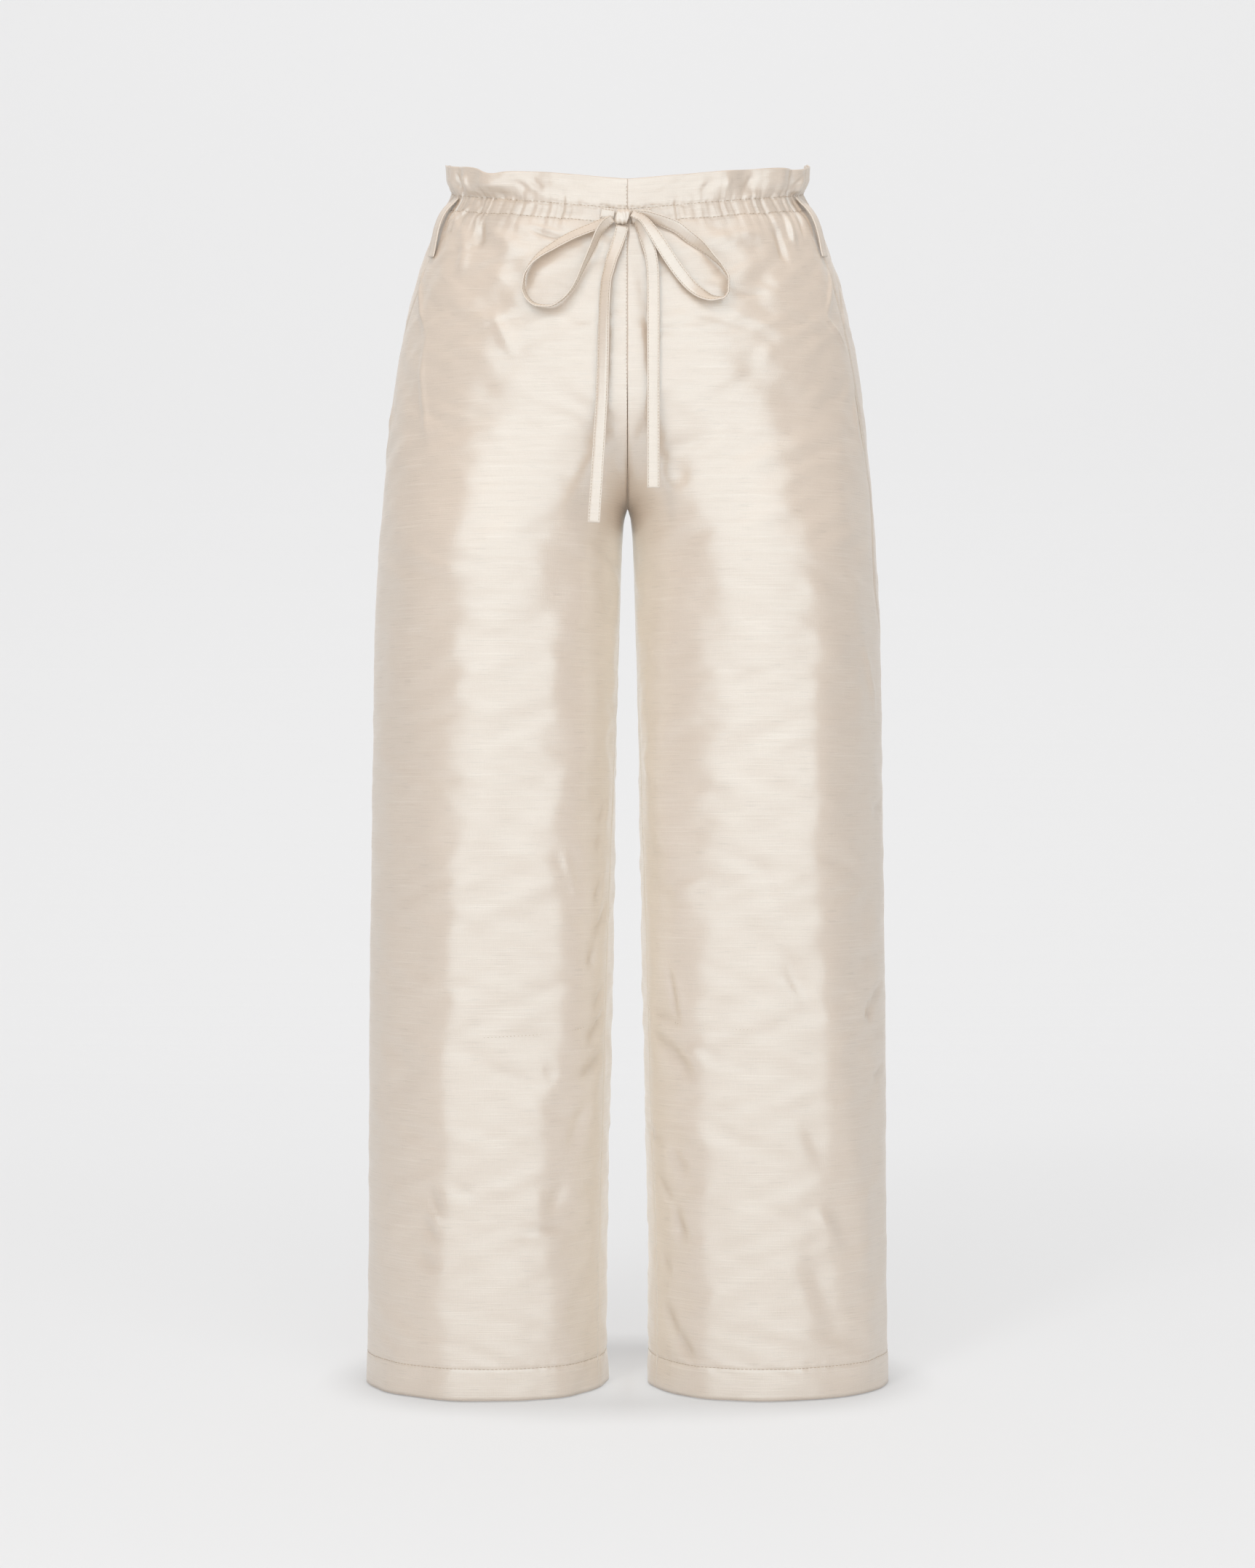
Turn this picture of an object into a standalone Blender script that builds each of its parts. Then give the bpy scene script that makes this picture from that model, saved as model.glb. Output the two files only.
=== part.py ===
"""Drawstring trousers with a frilled waist, worn and filled out with no wearer inside.

The front faces -Y, the wearer's left is +X and +Z is up. The origin is the middle of
the waist, where a wearer holds the trousers up. Lengths are in metres.

Each leg has a front and a back panel. A panel runs in one piece from the hem to the
frill's top edge. A point of the cloth is given by a turn t and a height v. The turn is
0 at the middle of the front (or the inside of the leg), 1 at the side seam and 2 at the
middle of the back. The height is that of the same ring of thread at the side seam,
measured from the hem.
"""

import bpy
import numpy as np

WAIST_H = 0.955  # the origin's height above the hem
CROTCH_V = 0.717
FRONT_CROTCH = 0.085  # height over which the crotch seam curves up to the front
BACK_CROTCH = 0.110  # and to the back
CASING_V = 0.965  # lower stitch line of the drawstring's casing
FRILL_V = 0.977  # upper stitch line of the casing, where the frill starts
TOP_V = 1.0005
WALL = 0.0015
SEAM_GAP = 0.0003
FRONT_DIP = 0.0315  # how much lower the waist is at the middle of the front
BACK_RISE = 0.004
HIPS_START = (0.66, 0.81)  # heights between which the rings of the legs become one of the hips
EVEN_START = (CROTCH_V, 0.85)  # and their turns become evenly spaced round the hips
TILT_START = (0.78, 0.96)  # and the rings come to follow the waist's own rise and fall
SEAM_REACH = 0.16  # how far from a centre seam its curve is felt, as a turn
HIP_SQUARE = 0.025  # how much fuller the hips are than an ellipse
INSEAM_TURN = 0.13  # how far round to the front the inner leg seam lies at the knee and below
INSEAM_START = (-0.70, -0.30)  # heights, counted down, over which it gets there
FRONT_GATHERS = 16  # gathers in the waist of a front panel
BACK_GATHERS = 24
PER_GATHER = 3  # columns of points a gather takes
PER_LEG_COLUMN = 4  # columns at the waist for each one in the leg

TIE_WIDE = 0.0100
TIE_THICK = 0.0012
LOOP_WIDE = 0.0095
LOOP_THICK = 0.0014
LOOP_T = 0.77  # where the belt loops are sewn on
KNOT_SIZE = (0.0113, 0.0086, 0.0118)
KNOT_X = -0.0040
KNOT_H = 0.9376
KNOT_ROUND = 0.35  # power of its rounded section; 1 would be an oval
KNOT_TAPER = 0.10
KNOT_OFF = 0.0014  # how far it lies off the form
RIDGE = 0.0016  # how far the ridges under the tie stand out from the form

# Height, half width across both legs, depth in front of the side seams and behind them.
SECTIONS = np.array(
    [
        (0.000, 0.2142, 0.0870, 0.0870),
        (0.120, 0.2132, 0.0875, 0.0875),
        (0.240, 0.2130, 0.0890, 0.0890),
        (0.330, 0.2124, 0.0910, 0.0920),
        (0.450, 0.2106, 0.0960, 0.0980),
        (0.550, 0.2094, 0.1010, 0.1060),
        (0.620, 0.2079, 0.1050, 0.1150),
        (0.670, 0.2054, 0.1080, 0.1220),
        (0.717, 0.2019, 0.1100, 0.1300),
        (0.765, 0.1977, 0.1125, 0.1395),
        (0.813, 0.1923, 0.1130, 0.1430),
        (0.861, 0.1842, 0.1115, 0.1360),
        (0.909, 0.1728, 0.1075, 0.1260),
        (0.933, 0.1644, 0.1045, 0.1200),
        (0.957, 0.1563, 0.1000, 0.1130),
        (0.977, 0.1450, 0.0955, 0.1070),
        (1.001, 0.1475, 0.0975, 0.1095),
    ]
)

# Height, half the gap between the legs.
GAP = np.array(
    [
        (0.000, 0.0166),
        (0.030, 0.0170),
        (0.120, 0.0168),
        (0.240, 0.0141),
        (0.333, 0.0120),
        (0.450, 0.0102),
        (0.525, 0.0093),
        (0.597, 0.0072),
        (0.669, 0.0051),
        (0.698, 0.0037),
        (0.708, 0.0028),
        (0.717, 0.0003),
        (1.001, 0.0003),
    ]
)

# Height, turn of the side seam on the wearer's left and on the wearer's right. Above
# 0.905 it follows a gather.
SIDE_SEAM = np.array(
    [
        (0.000, 1.0000, 1.0000),
        (0.400, 1.0000, 1.0000),
        (0.580, 0.9980, 1.0000),
        (0.611, 0.9650, 1.0000),
        (0.640, 0.9150, 1.0000),
        (0.669, 0.9000, 1.0000),
        (0.717, 0.9250, 1.0000),
        (0.7476, 0.9050, 0.9950),
        (0.7714, 0.8850, 0.9850),
        (0.802, 0.8480, 0.9700),
        (0.820, 0.8250, 0.9500),
        (0.850, 0.8050, 0.9100),
        (0.880, 0.7950, 0.8550),
        (0.905, 0.7926, 0.8093),
        (1.001, 0.7926, 0.8093),
    ]
)
MOUTH_V = (0.7476, 0.820)  # bottom and top of the pocket mouths, in the side seams
MOUTH_OPEN = 0.040  # how far a mouth opens, as a turn

# Height, how deep the gathers are, how deep the wider folds that run on from them are.
GATHER_DEPTH = np.array(
    [
        (0.860, 0.0000, 0.0000),
        (0.880, 0.0000, 0.0004),
        (0.905, 0.0002, 0.0010),
        (0.930, 0.0005, 0.0013),
        (0.950, 0.0009, 0.0009),
        (0.965, 0.0010, 0.0002),
        (0.971, 0.0012, 0.0000),
        (0.977, 0.0009, 0.0000),
        (0.9815, 0.0010, 0.0002),
        (0.990, 0.0003, 0.0008),
        (1.001, 0.0001, 0.0010),
    ]
)

# Soft folds of the cloth: side (+1 the wearer's left), middle turn, half width as a turn,
# height it starts at, height it ends at, how far it stands out.
FOLDS = (
    # The frill's large ruffles.
    (-1, 0.80, 0.150, 0.979, 1.010, 0.0032),
    (-1, 0.61, 0.050, 0.955, 1.004, -0.0030),
    (-1, 0.48, 0.120, 0.979, 1.010, 0.0062),
    (-1, 0.30, 0.080, 0.979, 1.010, -0.0012),
    (-1, 0.97, 0.050, 0.979, 1.010, -0.0022),
    (-1, 1.12, 0.110, 0.979, 1.010, 0.0030),
    (-1, 1.38, 0.100, 0.979, 1.010, -0.0026),
    (-1, 1.62, 0.120, 0.979, 1.010, 0.0040),
    (1, 0.84, 0.120, 0.979, 1.010, 0.0032),
    (1, 0.72, 0.050, 0.955, 1.004, -0.0026),
    (1, 0.60, 0.090, 0.979, 1.010, 0.0036),
    (1, 0.46, 0.070, 0.979, 1.010, -0.0016),
    (1, 0.34, 0.070, 0.979, 1.010, 0.0014),
    (1, 0.98, 0.040, 0.979, 1.010, -0.0020),
    (1, 1.10, 0.110, 0.979, 1.010, 0.0034),
    (1, 1.33, 0.110, 0.979, 1.010, -0.0024),
    (1, 1.58, 0.130, 0.979, 1.010, 0.0036),
    # Folds that fall from the casing.
    (-1, 0.53, 0.050, 0.890, 0.968, -0.0022),
    (-1, 0.64, 0.070, 0.870, 0.960, 0.0022),
    (-1, 0.13, 0.060, 0.860, 0.975, 0.0014),
    (1, 0.10, 0.055, 0.810, 0.965, -0.0020),
    (1, 0.70, 0.060, 0.880, 0.965, 0.0020),
    (1, 0.60, 0.050, 0.890, 0.968, -0.0014),
    (-1, 1.45, 0.080, 0.880, 0.968, -0.0018),
    (1, 1.50, 0.080, 0.880, 0.968, -0.0018),
    # The long flats and ridges of the legs.
    (-1, 0.30, 0.130, 0.080, 0.640, 0.0020),
    (-1, 0.62, 0.130, 0.020, 0.700, 0.0026),
    (-1, 0.78, 0.120, 0.050, 0.760, -0.0026),
    (1, 0.28, 0.130, 0.080, 0.640, 0.0020),
    (1, 0.66, 0.130, 0.020, 0.700, 0.0026),
    (1, 0.82, 0.110, 0.050, 0.760, -0.0024),
    (-1, 1.40, 0.150, 0.050, 0.660, -0.0022),
    (-1, 1.66, 0.150, 0.050, 0.660, 0.0022),
    (1, 1.38, 0.150, 0.050, 0.660, -0.0022),
    (1, 1.68, 0.150, 0.050, 0.660, 0.0022),
)

# Rows of points: the legs and hips, then the gathered waist.
LEG_ROWS = (0.0, 0.025, 0.10, 0.18, 0.26, 0.34, 0.43, 0.52, 0.60, 0.655, 0.69, CROTCH_V)
CROTCH_STEPS = 5
HIP_ROWS = (0.855, 0.88)
WAIST_ROWS = (0.905, 0.930, 0.950, CASING_V, 0.971, FRILL_V, 0.9815, 0.990, TOP_V)

# The tie. Each row: x, height above the hem, turn of its face from flat (degrees),
# width as a share of the whole, how far it floats off the cloth.
LEFT_LEAD = (
    (0.0192, 0.9412, 0, 0.86, 0.0003),
    (0.0110, 0.9405, 0, 0.80, 0.0004),
    (0.0026, 0.9400, 0, 0.66, 0.0004),
)
RIGHT_LEAD = (
    (-0.0210, 0.9419, 0, 0.86, 0.0002),
    (-0.0155, 0.9411, 0, 0.80, 0.0002),
    (-0.0104, 0.9403, 0, 0.70, 0.0003),
)
RIGHT_LOOP = (
    (-0.0122, 0.9366, 8, 0.60, 0.0020),
    (-0.0170, 0.9338, 20, 0.80, 0.0020),
    (-0.0243, 0.9304, 34, 1.00, 0.0015),
    (-0.0346, 0.9264, 40, 1.00, 0.0010),
    (-0.0449, 0.9221, 42, 1.00, 0.0008),
    (-0.0587, 0.9143, 50, 1.00, 0.0008),
    (-0.0701, 0.9069, 64, 1.00, 0.0008),
    (-0.0776, 0.8989, 80, 1.00, 0.0008),
    (-0.0816, 0.8897, 92, 1.00, 0.0008),
    (-0.0821, 0.8806, 102, 1.00, 0.0008),
    (-0.0787, 0.8726, 108, 1.00, 0.0008),
    (-0.0713, 0.8668, 106, 1.00, 0.0008),
    (-0.0615, 0.8657, 100, 1.00, 0.0008),
    (-0.0529, 0.8697, 94, 1.00, 0.0008),
    (-0.0455, 0.8766, 90, 1.00, 0.0010),
    (-0.0398, 0.8857, 84, 1.00, 0.0012),
    (-0.0341, 0.8983, 76, 1.00, 0.0016),
    (-0.0278, 0.9121, 68, 1.00, 0.0022),
    (-0.0220, 0.9252, 56, 0.90, 0.0034),
    (-0.0169, 0.9321, 34, 0.75, 0.0046),
    (-0.0119, 0.9360, 14, 0.60, 0.0046),
)
LEFT_LOOP = (
    (0.0034, 0.9402, 16, 0.55, 0.0020),
    (0.0100, 0.9398, 34, 0.70, 0.0026),
    (0.0243, 0.9355, 32, 0.95, 0.0018),
    (0.0386, 0.9298, 22, 1.00, 0.0010),
    (0.0489, 0.9218, 28, 1.00, 0.0008),
    (0.0587, 0.9143, 52, 1.00, 0.0008),
    (0.0673, 0.9058, 76, 1.00, 0.0008),
    (0.0753, 0.8972, 88, 1.00, 0.0008),
    (0.0799, 0.8874, 92, 1.00, 0.0008),
    (0.0793, 0.8783, 90, 1.00, 0.0008),
    (0.0747, 0.8731, 78, 1.00, 0.0008),
    (0.0673, 0.8726, 60, 1.00, 0.0008),
    (0.0592, 0.8754, 36, 1.00, 0.0010),
    (0.0507, 0.8817, 16, 1.00, 0.0016),
    (0.0421, 0.8915, 4, 1.00, 0.0026),
    (0.0335, 0.9035, 0, 1.00, 0.0042),
    (0.0260, 0.9155, 4, 1.00, 0.0052),
    (0.0180, 0.9275, 14, 0.90, 0.0056),
    (0.0112, 0.9358, 22, 0.70, 0.0060),
    (0.0034, 0.9398, 12, 0.55, 0.0056),
)
RIGHT_TAIL = (
    (-0.0041, 0.9304, 0, 0.98, 0.0022),
    (-0.0052, 0.9252, 4, 1.00, 0.0016),
    (-0.0094, 0.9121, 14, 1.00, 0.0010),
    (-0.0123, 0.9040, 22, 1.00, 0.0008),
    (-0.0143, 0.8960, 30, 1.00, 0.0008),
    (-0.0169, 0.8840, 36, 1.00, 0.0008),
    (-0.0180, 0.8669, 34, 1.00, 0.0008),
    (-0.0188, 0.8376, 26, 1.00, 0.0010),
    (-0.0200, 0.7980, 18, 1.00, 0.0014),
    (-0.0231, 0.7460, 12, 1.00, 0.0016),
    (-0.0265, 0.6953, 8, 1.00, 0.0016),
)
LEFT_TAIL = (
    (0.0036, 0.9350, 26, 0.55, 0.0018),
    (0.0060, 0.9354, 44, 0.60, 0.0012),
    (0.0089, 0.9310, 42, 0.75, 0.0008),
    (0.0129, 0.9229, 26, 0.95, 0.0006),
    (0.0163, 0.9143, 12, 1.00, 0.0006),
    (0.0186, 0.9058, 6, 1.00, 0.0006),
    (0.0200, 0.8926, 2, 1.00, 0.0006),
    (0.0203, 0.8783, 0, 1.00, 0.0006),
    (0.0203, 0.8400, -4, 1.00, 0.0010),
    (0.0203, 0.7978, -8, 1.00, 0.0014),
    (0.0203, 0.7224, -6, 1.00, 0.0016),
)
HANG_V = 0.80  # below this the tails hang straight down

# A belt loop. Each row: height, how far it stands off the gathers.
BELT_LOOP = (
    (0.9748, 0.0002),
    (0.9700, 0.0018),
    (0.9620, 0.0032),
    (0.9500, 0.0034),
    (0.9390, 0.0024),
    (0.9300, 0.0008),
    (0.9250, 0.0002),
)
POCKET_WIDE = 0.10  # width of the pocket's facing, as a turn
POCKET_THICK = 0.0012
POCKET_CLEAR = 0.0016
POCKET_V = (0.725, 0.855)

CLOTH_COLOUR = (0.78, 0.70, 0.60, 1.0)


def smooth(value, low, high):
    """0 below low, 1 above high, and an even slope between."""
    share = np.clip((value - low) / (high - low), 0, 1)
    return share * share * (3 - 2 * share)


def along(value, table, column):
    """The table's column at this value of its first column, on a curve through its rows.

    The curve is smooth and never swings past a row.
    """
    at, height = table[:, 0], table[:, column]
    chord = np.diff(height) / np.diff(at)
    steady = chord[:-1] * chord[1:] > 0
    total = np.where(steady, chord[:-1] + chord[1:], 1)
    inside = np.where(steady, 2 * chord[:-1] * chord[1:] / total, 0)
    slope = np.concatenate([chord[:1], inside, chord[-1:]])
    row = np.clip(np.searchsorted(at, value, side="right") - 1, 0, len(at) - 2)
    step = at[row + 1] - at[row]
    s = np.clip((value - at[row]) / step, 0, 1)
    return (
        height[row] * (1 + 2 * s) * (1 - s) ** 2
        + slope[row] * step * s * (1 - s) ** 2
        + height[row + 1] * s * s * (3 - 2 * s)
        + slope[row + 1] * step * s * s * (s - 1)
    )


def waist_drop(t):
    """How far the waist lies above or below its height at the side seam."""
    t = np.minimum(np.abs(t), 4 - t)
    front = -FRONT_DIP * (1 - np.clip(t, 0, 1) ** 1.2)
    back = BACK_RISE * (1 - np.exp(-9.5 * np.clip(t - 1, 0, 1)))
    return front + back


def form(t, v):
    """A point of the filled-out form, for the wearer's left half.

    A ring round a leg becomes half of a ring round the hips. Next to the centre seams the
    change follows a quarter of an ellipse, which gives the curve of the crotch.
    """
    side, front, back = (along(v, SECTIONS, column) for column in (1, 2, 3))
    gap = np.interp(v, GAP[:, 0], GAP[:, 1])
    across = np.sin(np.pi * t / 2) ** 2
    # The angle round the hips: over the leg's own points low down, evenly spaced higher up.
    over_leg = np.arcsin(across)
    over_leg = np.where(t > 1, np.pi - over_leg, over_leg)
    even = smooth(v, *EVEN_START)
    angle = over_leg + (np.pi * t / 2 - over_leg) * even
    full = 1 + HIP_SQUARE * even * np.sin(2 * angle) ** 2
    x = side * full * np.sin(angle) + gap * (1 - across) ** 3
    leg_y = -np.where(t % 2 < 1, front, back) * np.sin(np.pi * t)
    hip_y = -np.where(t < 1, front, back) * full * np.cos(angle)
    rise = 1 - np.clip((v - CROTCH_V) / np.where(t % 2 < 1, FRONT_CROTCH, BACK_CROTCH), 0, 1)
    at_seam = np.sqrt(1 - rise * rise)
    away = smooth(v, *HIPS_START)
    nearness = np.exp(-((np.minimum(np.abs(t), np.abs(2 - t)) / SEAM_REACH) ** 2))
    hips = at_seam * nearness + away * (1 - nearness)
    z = v - WAIST_H + waist_drop(t) * smooth(v, *TILT_START)
    return np.stack([x, leg_y + (hip_y - leg_y) * hips, z], -1)


def outward(t, v):
    """The direction out of the form, square to it."""
    dt, dv = 0.01, 0.003
    round_it = form(t + dt, v) - form(t - dt, v)
    up_it = form(t, v + dv) - form(t, np.maximum(v - dv, 0))
    normal = np.cross(round_it, up_it)
    return normal / np.linalg.norm(normal, axis=-1, keepdims=True)


def gather_count(t, side):
    """How many gathers lie between the middle of the front and this turn. They are uneven."""
    per_turn = (FRONT_GATHERS + BACK_GATHERS) / 2
    return per_turn * t + 0.34 * np.sin(np.pi * t * 5) + 0.22 * side * np.sin(np.pi * t * 13)


def stand_out(t, v, side):
    """How far the cloth stands out from the form: gathers, wider folds and single folds."""
    t = np.where(t > 2, t - 2, t)
    count = gather_count(t, side)
    edge = np.minimum(np.abs(t), np.abs(2 - t))
    calm = 0.2 + 0.8 * smooth(edge, 0.05, 0.22)
    out = along(v, GATHER_DEPTH, 1) * np.cos(2 * np.pi * count) * calm
    wide = np.cos(2 * np.pi * count / 2.5 + 1.3 * side)
    out = out + along(v, GATHER_DEPTH, 2) * wide * smooth(edge, 0.02, 0.2)
    for fold_side, middle, half_width, low, high, height in FOLDS:
        if fold_side != side:
            continue
        across = np.exp(-(((t - middle) / half_width) ** 2))
        reach = (high - low) * 0.35
        lengthwise = smooth(v, low, low + reach) * smooth(-v, -high, reach - high)
        out = out + height * across * lengthwise
    return out


def cloth(t, v, side, lift=0.0):
    """A point of the cloth's outer face, or one lifted off it."""
    out = stand_out(t, v, side) + lift
    points = form(t, v) + outward(t, v) * out[..., None]
    return points * np.array([side, 1, 1])


def new_object(name, points, faces):
    mesh = bpy.data.meshes.new(name)
    mesh.from_pydata([tuple(point) for point in points], [], faces)
    mesh.polygons.foreach_set("use_smooth", [True] * len(mesh.polygons))
    material = bpy.data.materials.new(name)
    material.use_nodes = True
    shader = material.node_tree.nodes["Principled BSDF"]
    shader.inputs["Base Color"].default_value = CLOTH_COLOUR
    shader.inputs["Roughness"].default_value = 0.6
    mesh.materials.append(material)
    mesh.update()
    obj = bpy.data.objects.new(name, mesh)
    bpy.context.scene.collection.objects.link(obj)
    return obj


def panel_rows(back):
    """The height and the number of columns of each row of points."""
    steps = np.arange(1, CROTCH_STEPS + 1) / CROTCH_STEPS
    crotch = CROTCH_V + BACK_CROTCH * steps**2
    fine = (BACK_GATHERS if back else FRONT_GATHERS) * PER_GATHER
    coarse = [(v, fine // PER_LEG_COLUMN) for v in (*LEG_ROWS, *crotch, *HIP_ROWS)]
    return coarse + [(v, fine) for v in WAIST_ROWS]


def side_seam(v, side):
    return along(v, SIDE_SEAM, 1 if side > 0 else 2)


def seam_turns(v, back, side):
    """The turns of a panel's inner and side edges. The inner leg seam lies a little to the front."""
    inseam = INSEAM_TURN * smooth(-v, *INSEAM_START)
    if back:
        return side_seam(v, side), 2.0 + inseam
    low, high = MOUTH_V
    share = np.clip((v - low) / (high - low), 0, 1)
    return inseam, side_seam(v, side) - MOUTH_OPEN * np.sin(np.pi * share)


def row_points(v, columns, back, side):
    """Outer and inner points of one row of a panel."""
    low, high = seam_turns(v, back, side)
    share = np.linspace(0, 1, columns + 1)
    t = low + (high - low) * share
    if v >= WAIST_ROWS[0]:
        # The columns follow the gathers, so that each has a ridge and a valley.
        fine = np.linspace(low, high, 2001)
        count = gather_count(fine, side)
        wanted = count[0] + (count[-1] - count[0]) * share
        t = np.interp(wanted, count, fine)
    height = np.full_like(t, v)
    outer = cloth(t, height, side)
    inner = cloth(t, height, side, -WALL)
    for edge, neighbour in ((0, 1), (-1, -2)):
        nearer = t[edge] + (t[neighbour] - t[edge]) * 0.02
        step = form(nearer, v) - form(t[edge], v)
        step = step / np.linalg.norm(step) * (SEAM_GAP / 2) * np.array([side, 1, 1])
        outer[edge] += step
        inner[edge] += step
    for points in (outer, inner):
        points[:, 0] = side * np.maximum(side * points[:, 0], SEAM_GAP / 2)
    return outer, inner


def bridge(low, high):
    """Faces between a row of point numbers and the row above it, which may be finer."""
    ratio = (len(high) - 1) // (len(low) - 1)
    if ratio == 1:
        return [
            (low[i], low[i + 1], high[i + 1], high[i]) for i in range(len(low) - 1)
        ]
    faces = []
    for i in range(len(low) - 1):
        first = i * ratio
        middle = first + ratio // 2
        faces += [(low[i], high[j + 1], high[j]) for j in range(first, middle)]
        faces.append((low[i], low[i + 1], high[middle]))
        faces += [
            (low[i + 1], high[j + 1], high[j]) for j in range(middle, first + ratio)
        ]
    return faces


def closed_faces(outer_rows, inner_rows):
    """Faces that close an outer and an inner grid of point numbers into one sheet."""
    faces = []
    for low, high in zip(outer_rows, outer_rows[1:]):
        faces += bridge(low, high)
    for low, high in zip(inner_rows, inner_rows[1:]):
        faces += [face[::-1] for face in bridge(low, high)]
    faces += [face[::-1] for face in bridge(outer_rows[0], inner_rows[0])]
    faces += bridge(outer_rows[-1], inner_rows[-1])
    for edge, flip in ((0, 1), (-1, -1)):
        outer = [row[edge] for row in outer_rows]
        inner = [row[edge] for row in inner_rows]
        faces += [face[::flip] for face in bridge(outer, inner)]
    return faces


def panel(name, side, back):
    """One panel, as a closed solid of the cloth's thickness."""
    points, outer_rows, inner_rows = [], [], []
    for v, columns in panel_rows(back):
        for row, rows in zip(row_points(v, columns, back, side), (outer_rows, inner_rows)):
            rows.append(list(range(len(points), len(points) + len(row))))
            points.extend(row)
    faces = closed_faces(outer_rows, inner_rows)
    return new_object(name, points, faces if side > 0 else [face[::-1] for face in faces])


def pocket(name, side):
    """The pocket's facing: a strip of cloth just inside the mouth, behind both panels."""
    columns = 5
    rows = [v for v, _ in panel_rows(False) if POCKET_V[0] < v < POCKET_V[1]]
    points, numbers = [], []
    for lift in (-WALL - POCKET_CLEAR, -WALL - POCKET_CLEAR - POCKET_THICK):
        for v in rows:
            middle = side_seam(v, side) - MOUTH_OPEN / 2
            t = middle + np.linspace(-POCKET_WIDE / 2, POCKET_WIDE / 2, columns)
            numbers.append(list(range(len(points), len(points) + columns)))
            points.extend(cloth(t, np.full(columns, v), side, lift))
    faces = closed_faces(numbers[: len(rows)], numbers[len(rows) :])
    return new_object(name, points, faces if side > 0 else [face[::-1] for face in faces])


def sweep(name, centres, wide, thick):
    """A flat strip along the centres. wide and thick are its half width and half thickness."""
    corners = ((-1, -1), (1, -1), (1, 1), (-1, 1))
    points = [c + wide[i] * a + thick[i] * b for i, c in enumerate(centres) for a, b in corners]
    faces = []
    for i in range(len(centres) - 1):
        for k in range(4):
            a, b = 4 * i + k, 4 * i + (k + 1) % 4
            faces.append((a, b, b + 4, a + 4))
    last = 4 * (len(centres) - 1)
    faces += [(3, 2, 1, 0), (last, last + 1, last + 2, last + 3)]
    return new_object(name, points, faces)


def resampled(rows, count):
    """The rows of a table, spaced evenly along a smooth curve through their first two columns."""
    rows = np.array(rows, float)
    travelled = np.concatenate([[0], np.cumsum(np.hypot(*np.diff(rows[:, :2], axis=0).T))])
    table = np.column_stack([travelled, rows])
    at = np.linspace(0, travelled[-1], count)
    return np.stack([along(at, table, column) for column in range(1, 6)], -1)


def front_depth(x, h):
    """How far in front of the side seams the cloth lies at this x and height."""
    v = h.copy()
    for _ in range(6):
        share = np.clip(np.abs(x) / along(v, SECTIONS, 1), 0, 1)
        t = np.arcsin(share) * 2 / np.pi
        v = np.maximum(h - waist_drop(t) * smooth(v, *TILT_START), HANG_V)
    full = 1 + HIP_SQUARE * np.sin(np.pi * t) ** 2
    return along(v, SECTIONS, 2) * full * np.cos(t * np.pi / 2)


def ribbon(name, rows, count):
    """A length of the tie, lying over the cloth's ridges."""
    x, h, turn, width, lift = resampled(rows, count).T
    turn = np.radians(turn)
    half_wide = TIE_WIDE / 2 * width
    clear = RIDGE + TIE_THICK / 2 + lift
    depth = front_depth(x, h) + clear + half_wide * np.abs(np.sin(turn))
    centres = np.stack([x, -depth, h - WAIST_H], -1)
    forward = np.gradient(centres, axis=0)
    forward /= np.linalg.norm(forward, axis=1, keepdims=True)
    to_viewer = np.array([0.0, -1.0, 0.0]) - forward * -forward[:, 1:2]
    to_viewer /= np.linalg.norm(to_viewer, axis=1, keepdims=True)
    across = np.cross(to_viewer, forward)
    wide = across * np.cos(turn)[:, None] + to_viewer * np.sin(turn)[:, None]
    thick = np.cross(forward, wide) * TIE_THICK / 2
    return sweep(name, centres, wide * half_wide[:, None], thick)


def knot():
    """The band of the tie that is wrapped round the middle of the bow: a block with round edges."""
    across, round_it = 7, 16
    half = np.array(KNOT_SIZE) / 2
    depth = front_depth(np.array([KNOT_X]), np.array([KNOT_H]))[0]
    middle = np.array([KNOT_X, -depth - half[1] - KNOT_OFF, KNOT_H - WAIST_H])
    points = []
    for i in range(across):
        s = -1 + 2 * i / (across - 1)
        swell = 1 - KNOT_TAPER * s * s
        for k in range(round_it):
            a = 2 * np.pi * (k + 0.5) / round_it
            c, d = np.cos(a), np.sin(a)
            ring = np.array([np.sign(c) * abs(c) ** KNOT_ROUND, np.sign(d) * abs(d) ** KNOT_ROUND])
            y, z = ring * half[1:] * swell
            points.append(middle + np.array([s * half[0], y, z]))
    faces = []
    for i in range(across - 1):
        for k in range(round_it):
            a, b = i * round_it + k, i * round_it + (k + 1) % round_it
            faces.append((a, b, b + round_it, a + round_it))
    faces += [tuple(range(round_it))[::-1]]
    faces += [tuple(range((across - 1) * round_it, across * round_it))]
    return new_object("tie_knot", points, faces)


def belt_loop(name, side):
    """A narrow strip sewn down at its two ends, standing off the cloth between them."""
    rows = np.array(BELT_LOOP)
    v = np.linspace(rows[0, 0], rows[-1, 0], 13)
    off = along(v[::-1], rows[::-1], 1)[::-1]
    t = np.full_like(v, LOOP_T)
    beside = LOOP_T + np.linspace(-0.03, 0.03, 13)
    ridge = np.array([stand_out(beside, np.full(13, height), side).max() for height in v])
    lift = ridge - stand_out(t, v, side) + SEAM_GAP + LOOP_THICK / 2 + off
    centres = cloth(t, v, side, lift)
    forward = np.gradient(centres, axis=0)
    forward /= np.linalg.norm(forward, axis=1, keepdims=True)
    out = outward(t, v) * np.array([side, 1, 1])
    wide = np.cross(forward, out)
    wide /= np.linalg.norm(wide, axis=1, keepdims=True)
    thick = np.cross(wide, forward)
    return sweep(name, centres, wide * LOOP_WIDE / 2, -thick * LOOP_THICK / 2)


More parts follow.
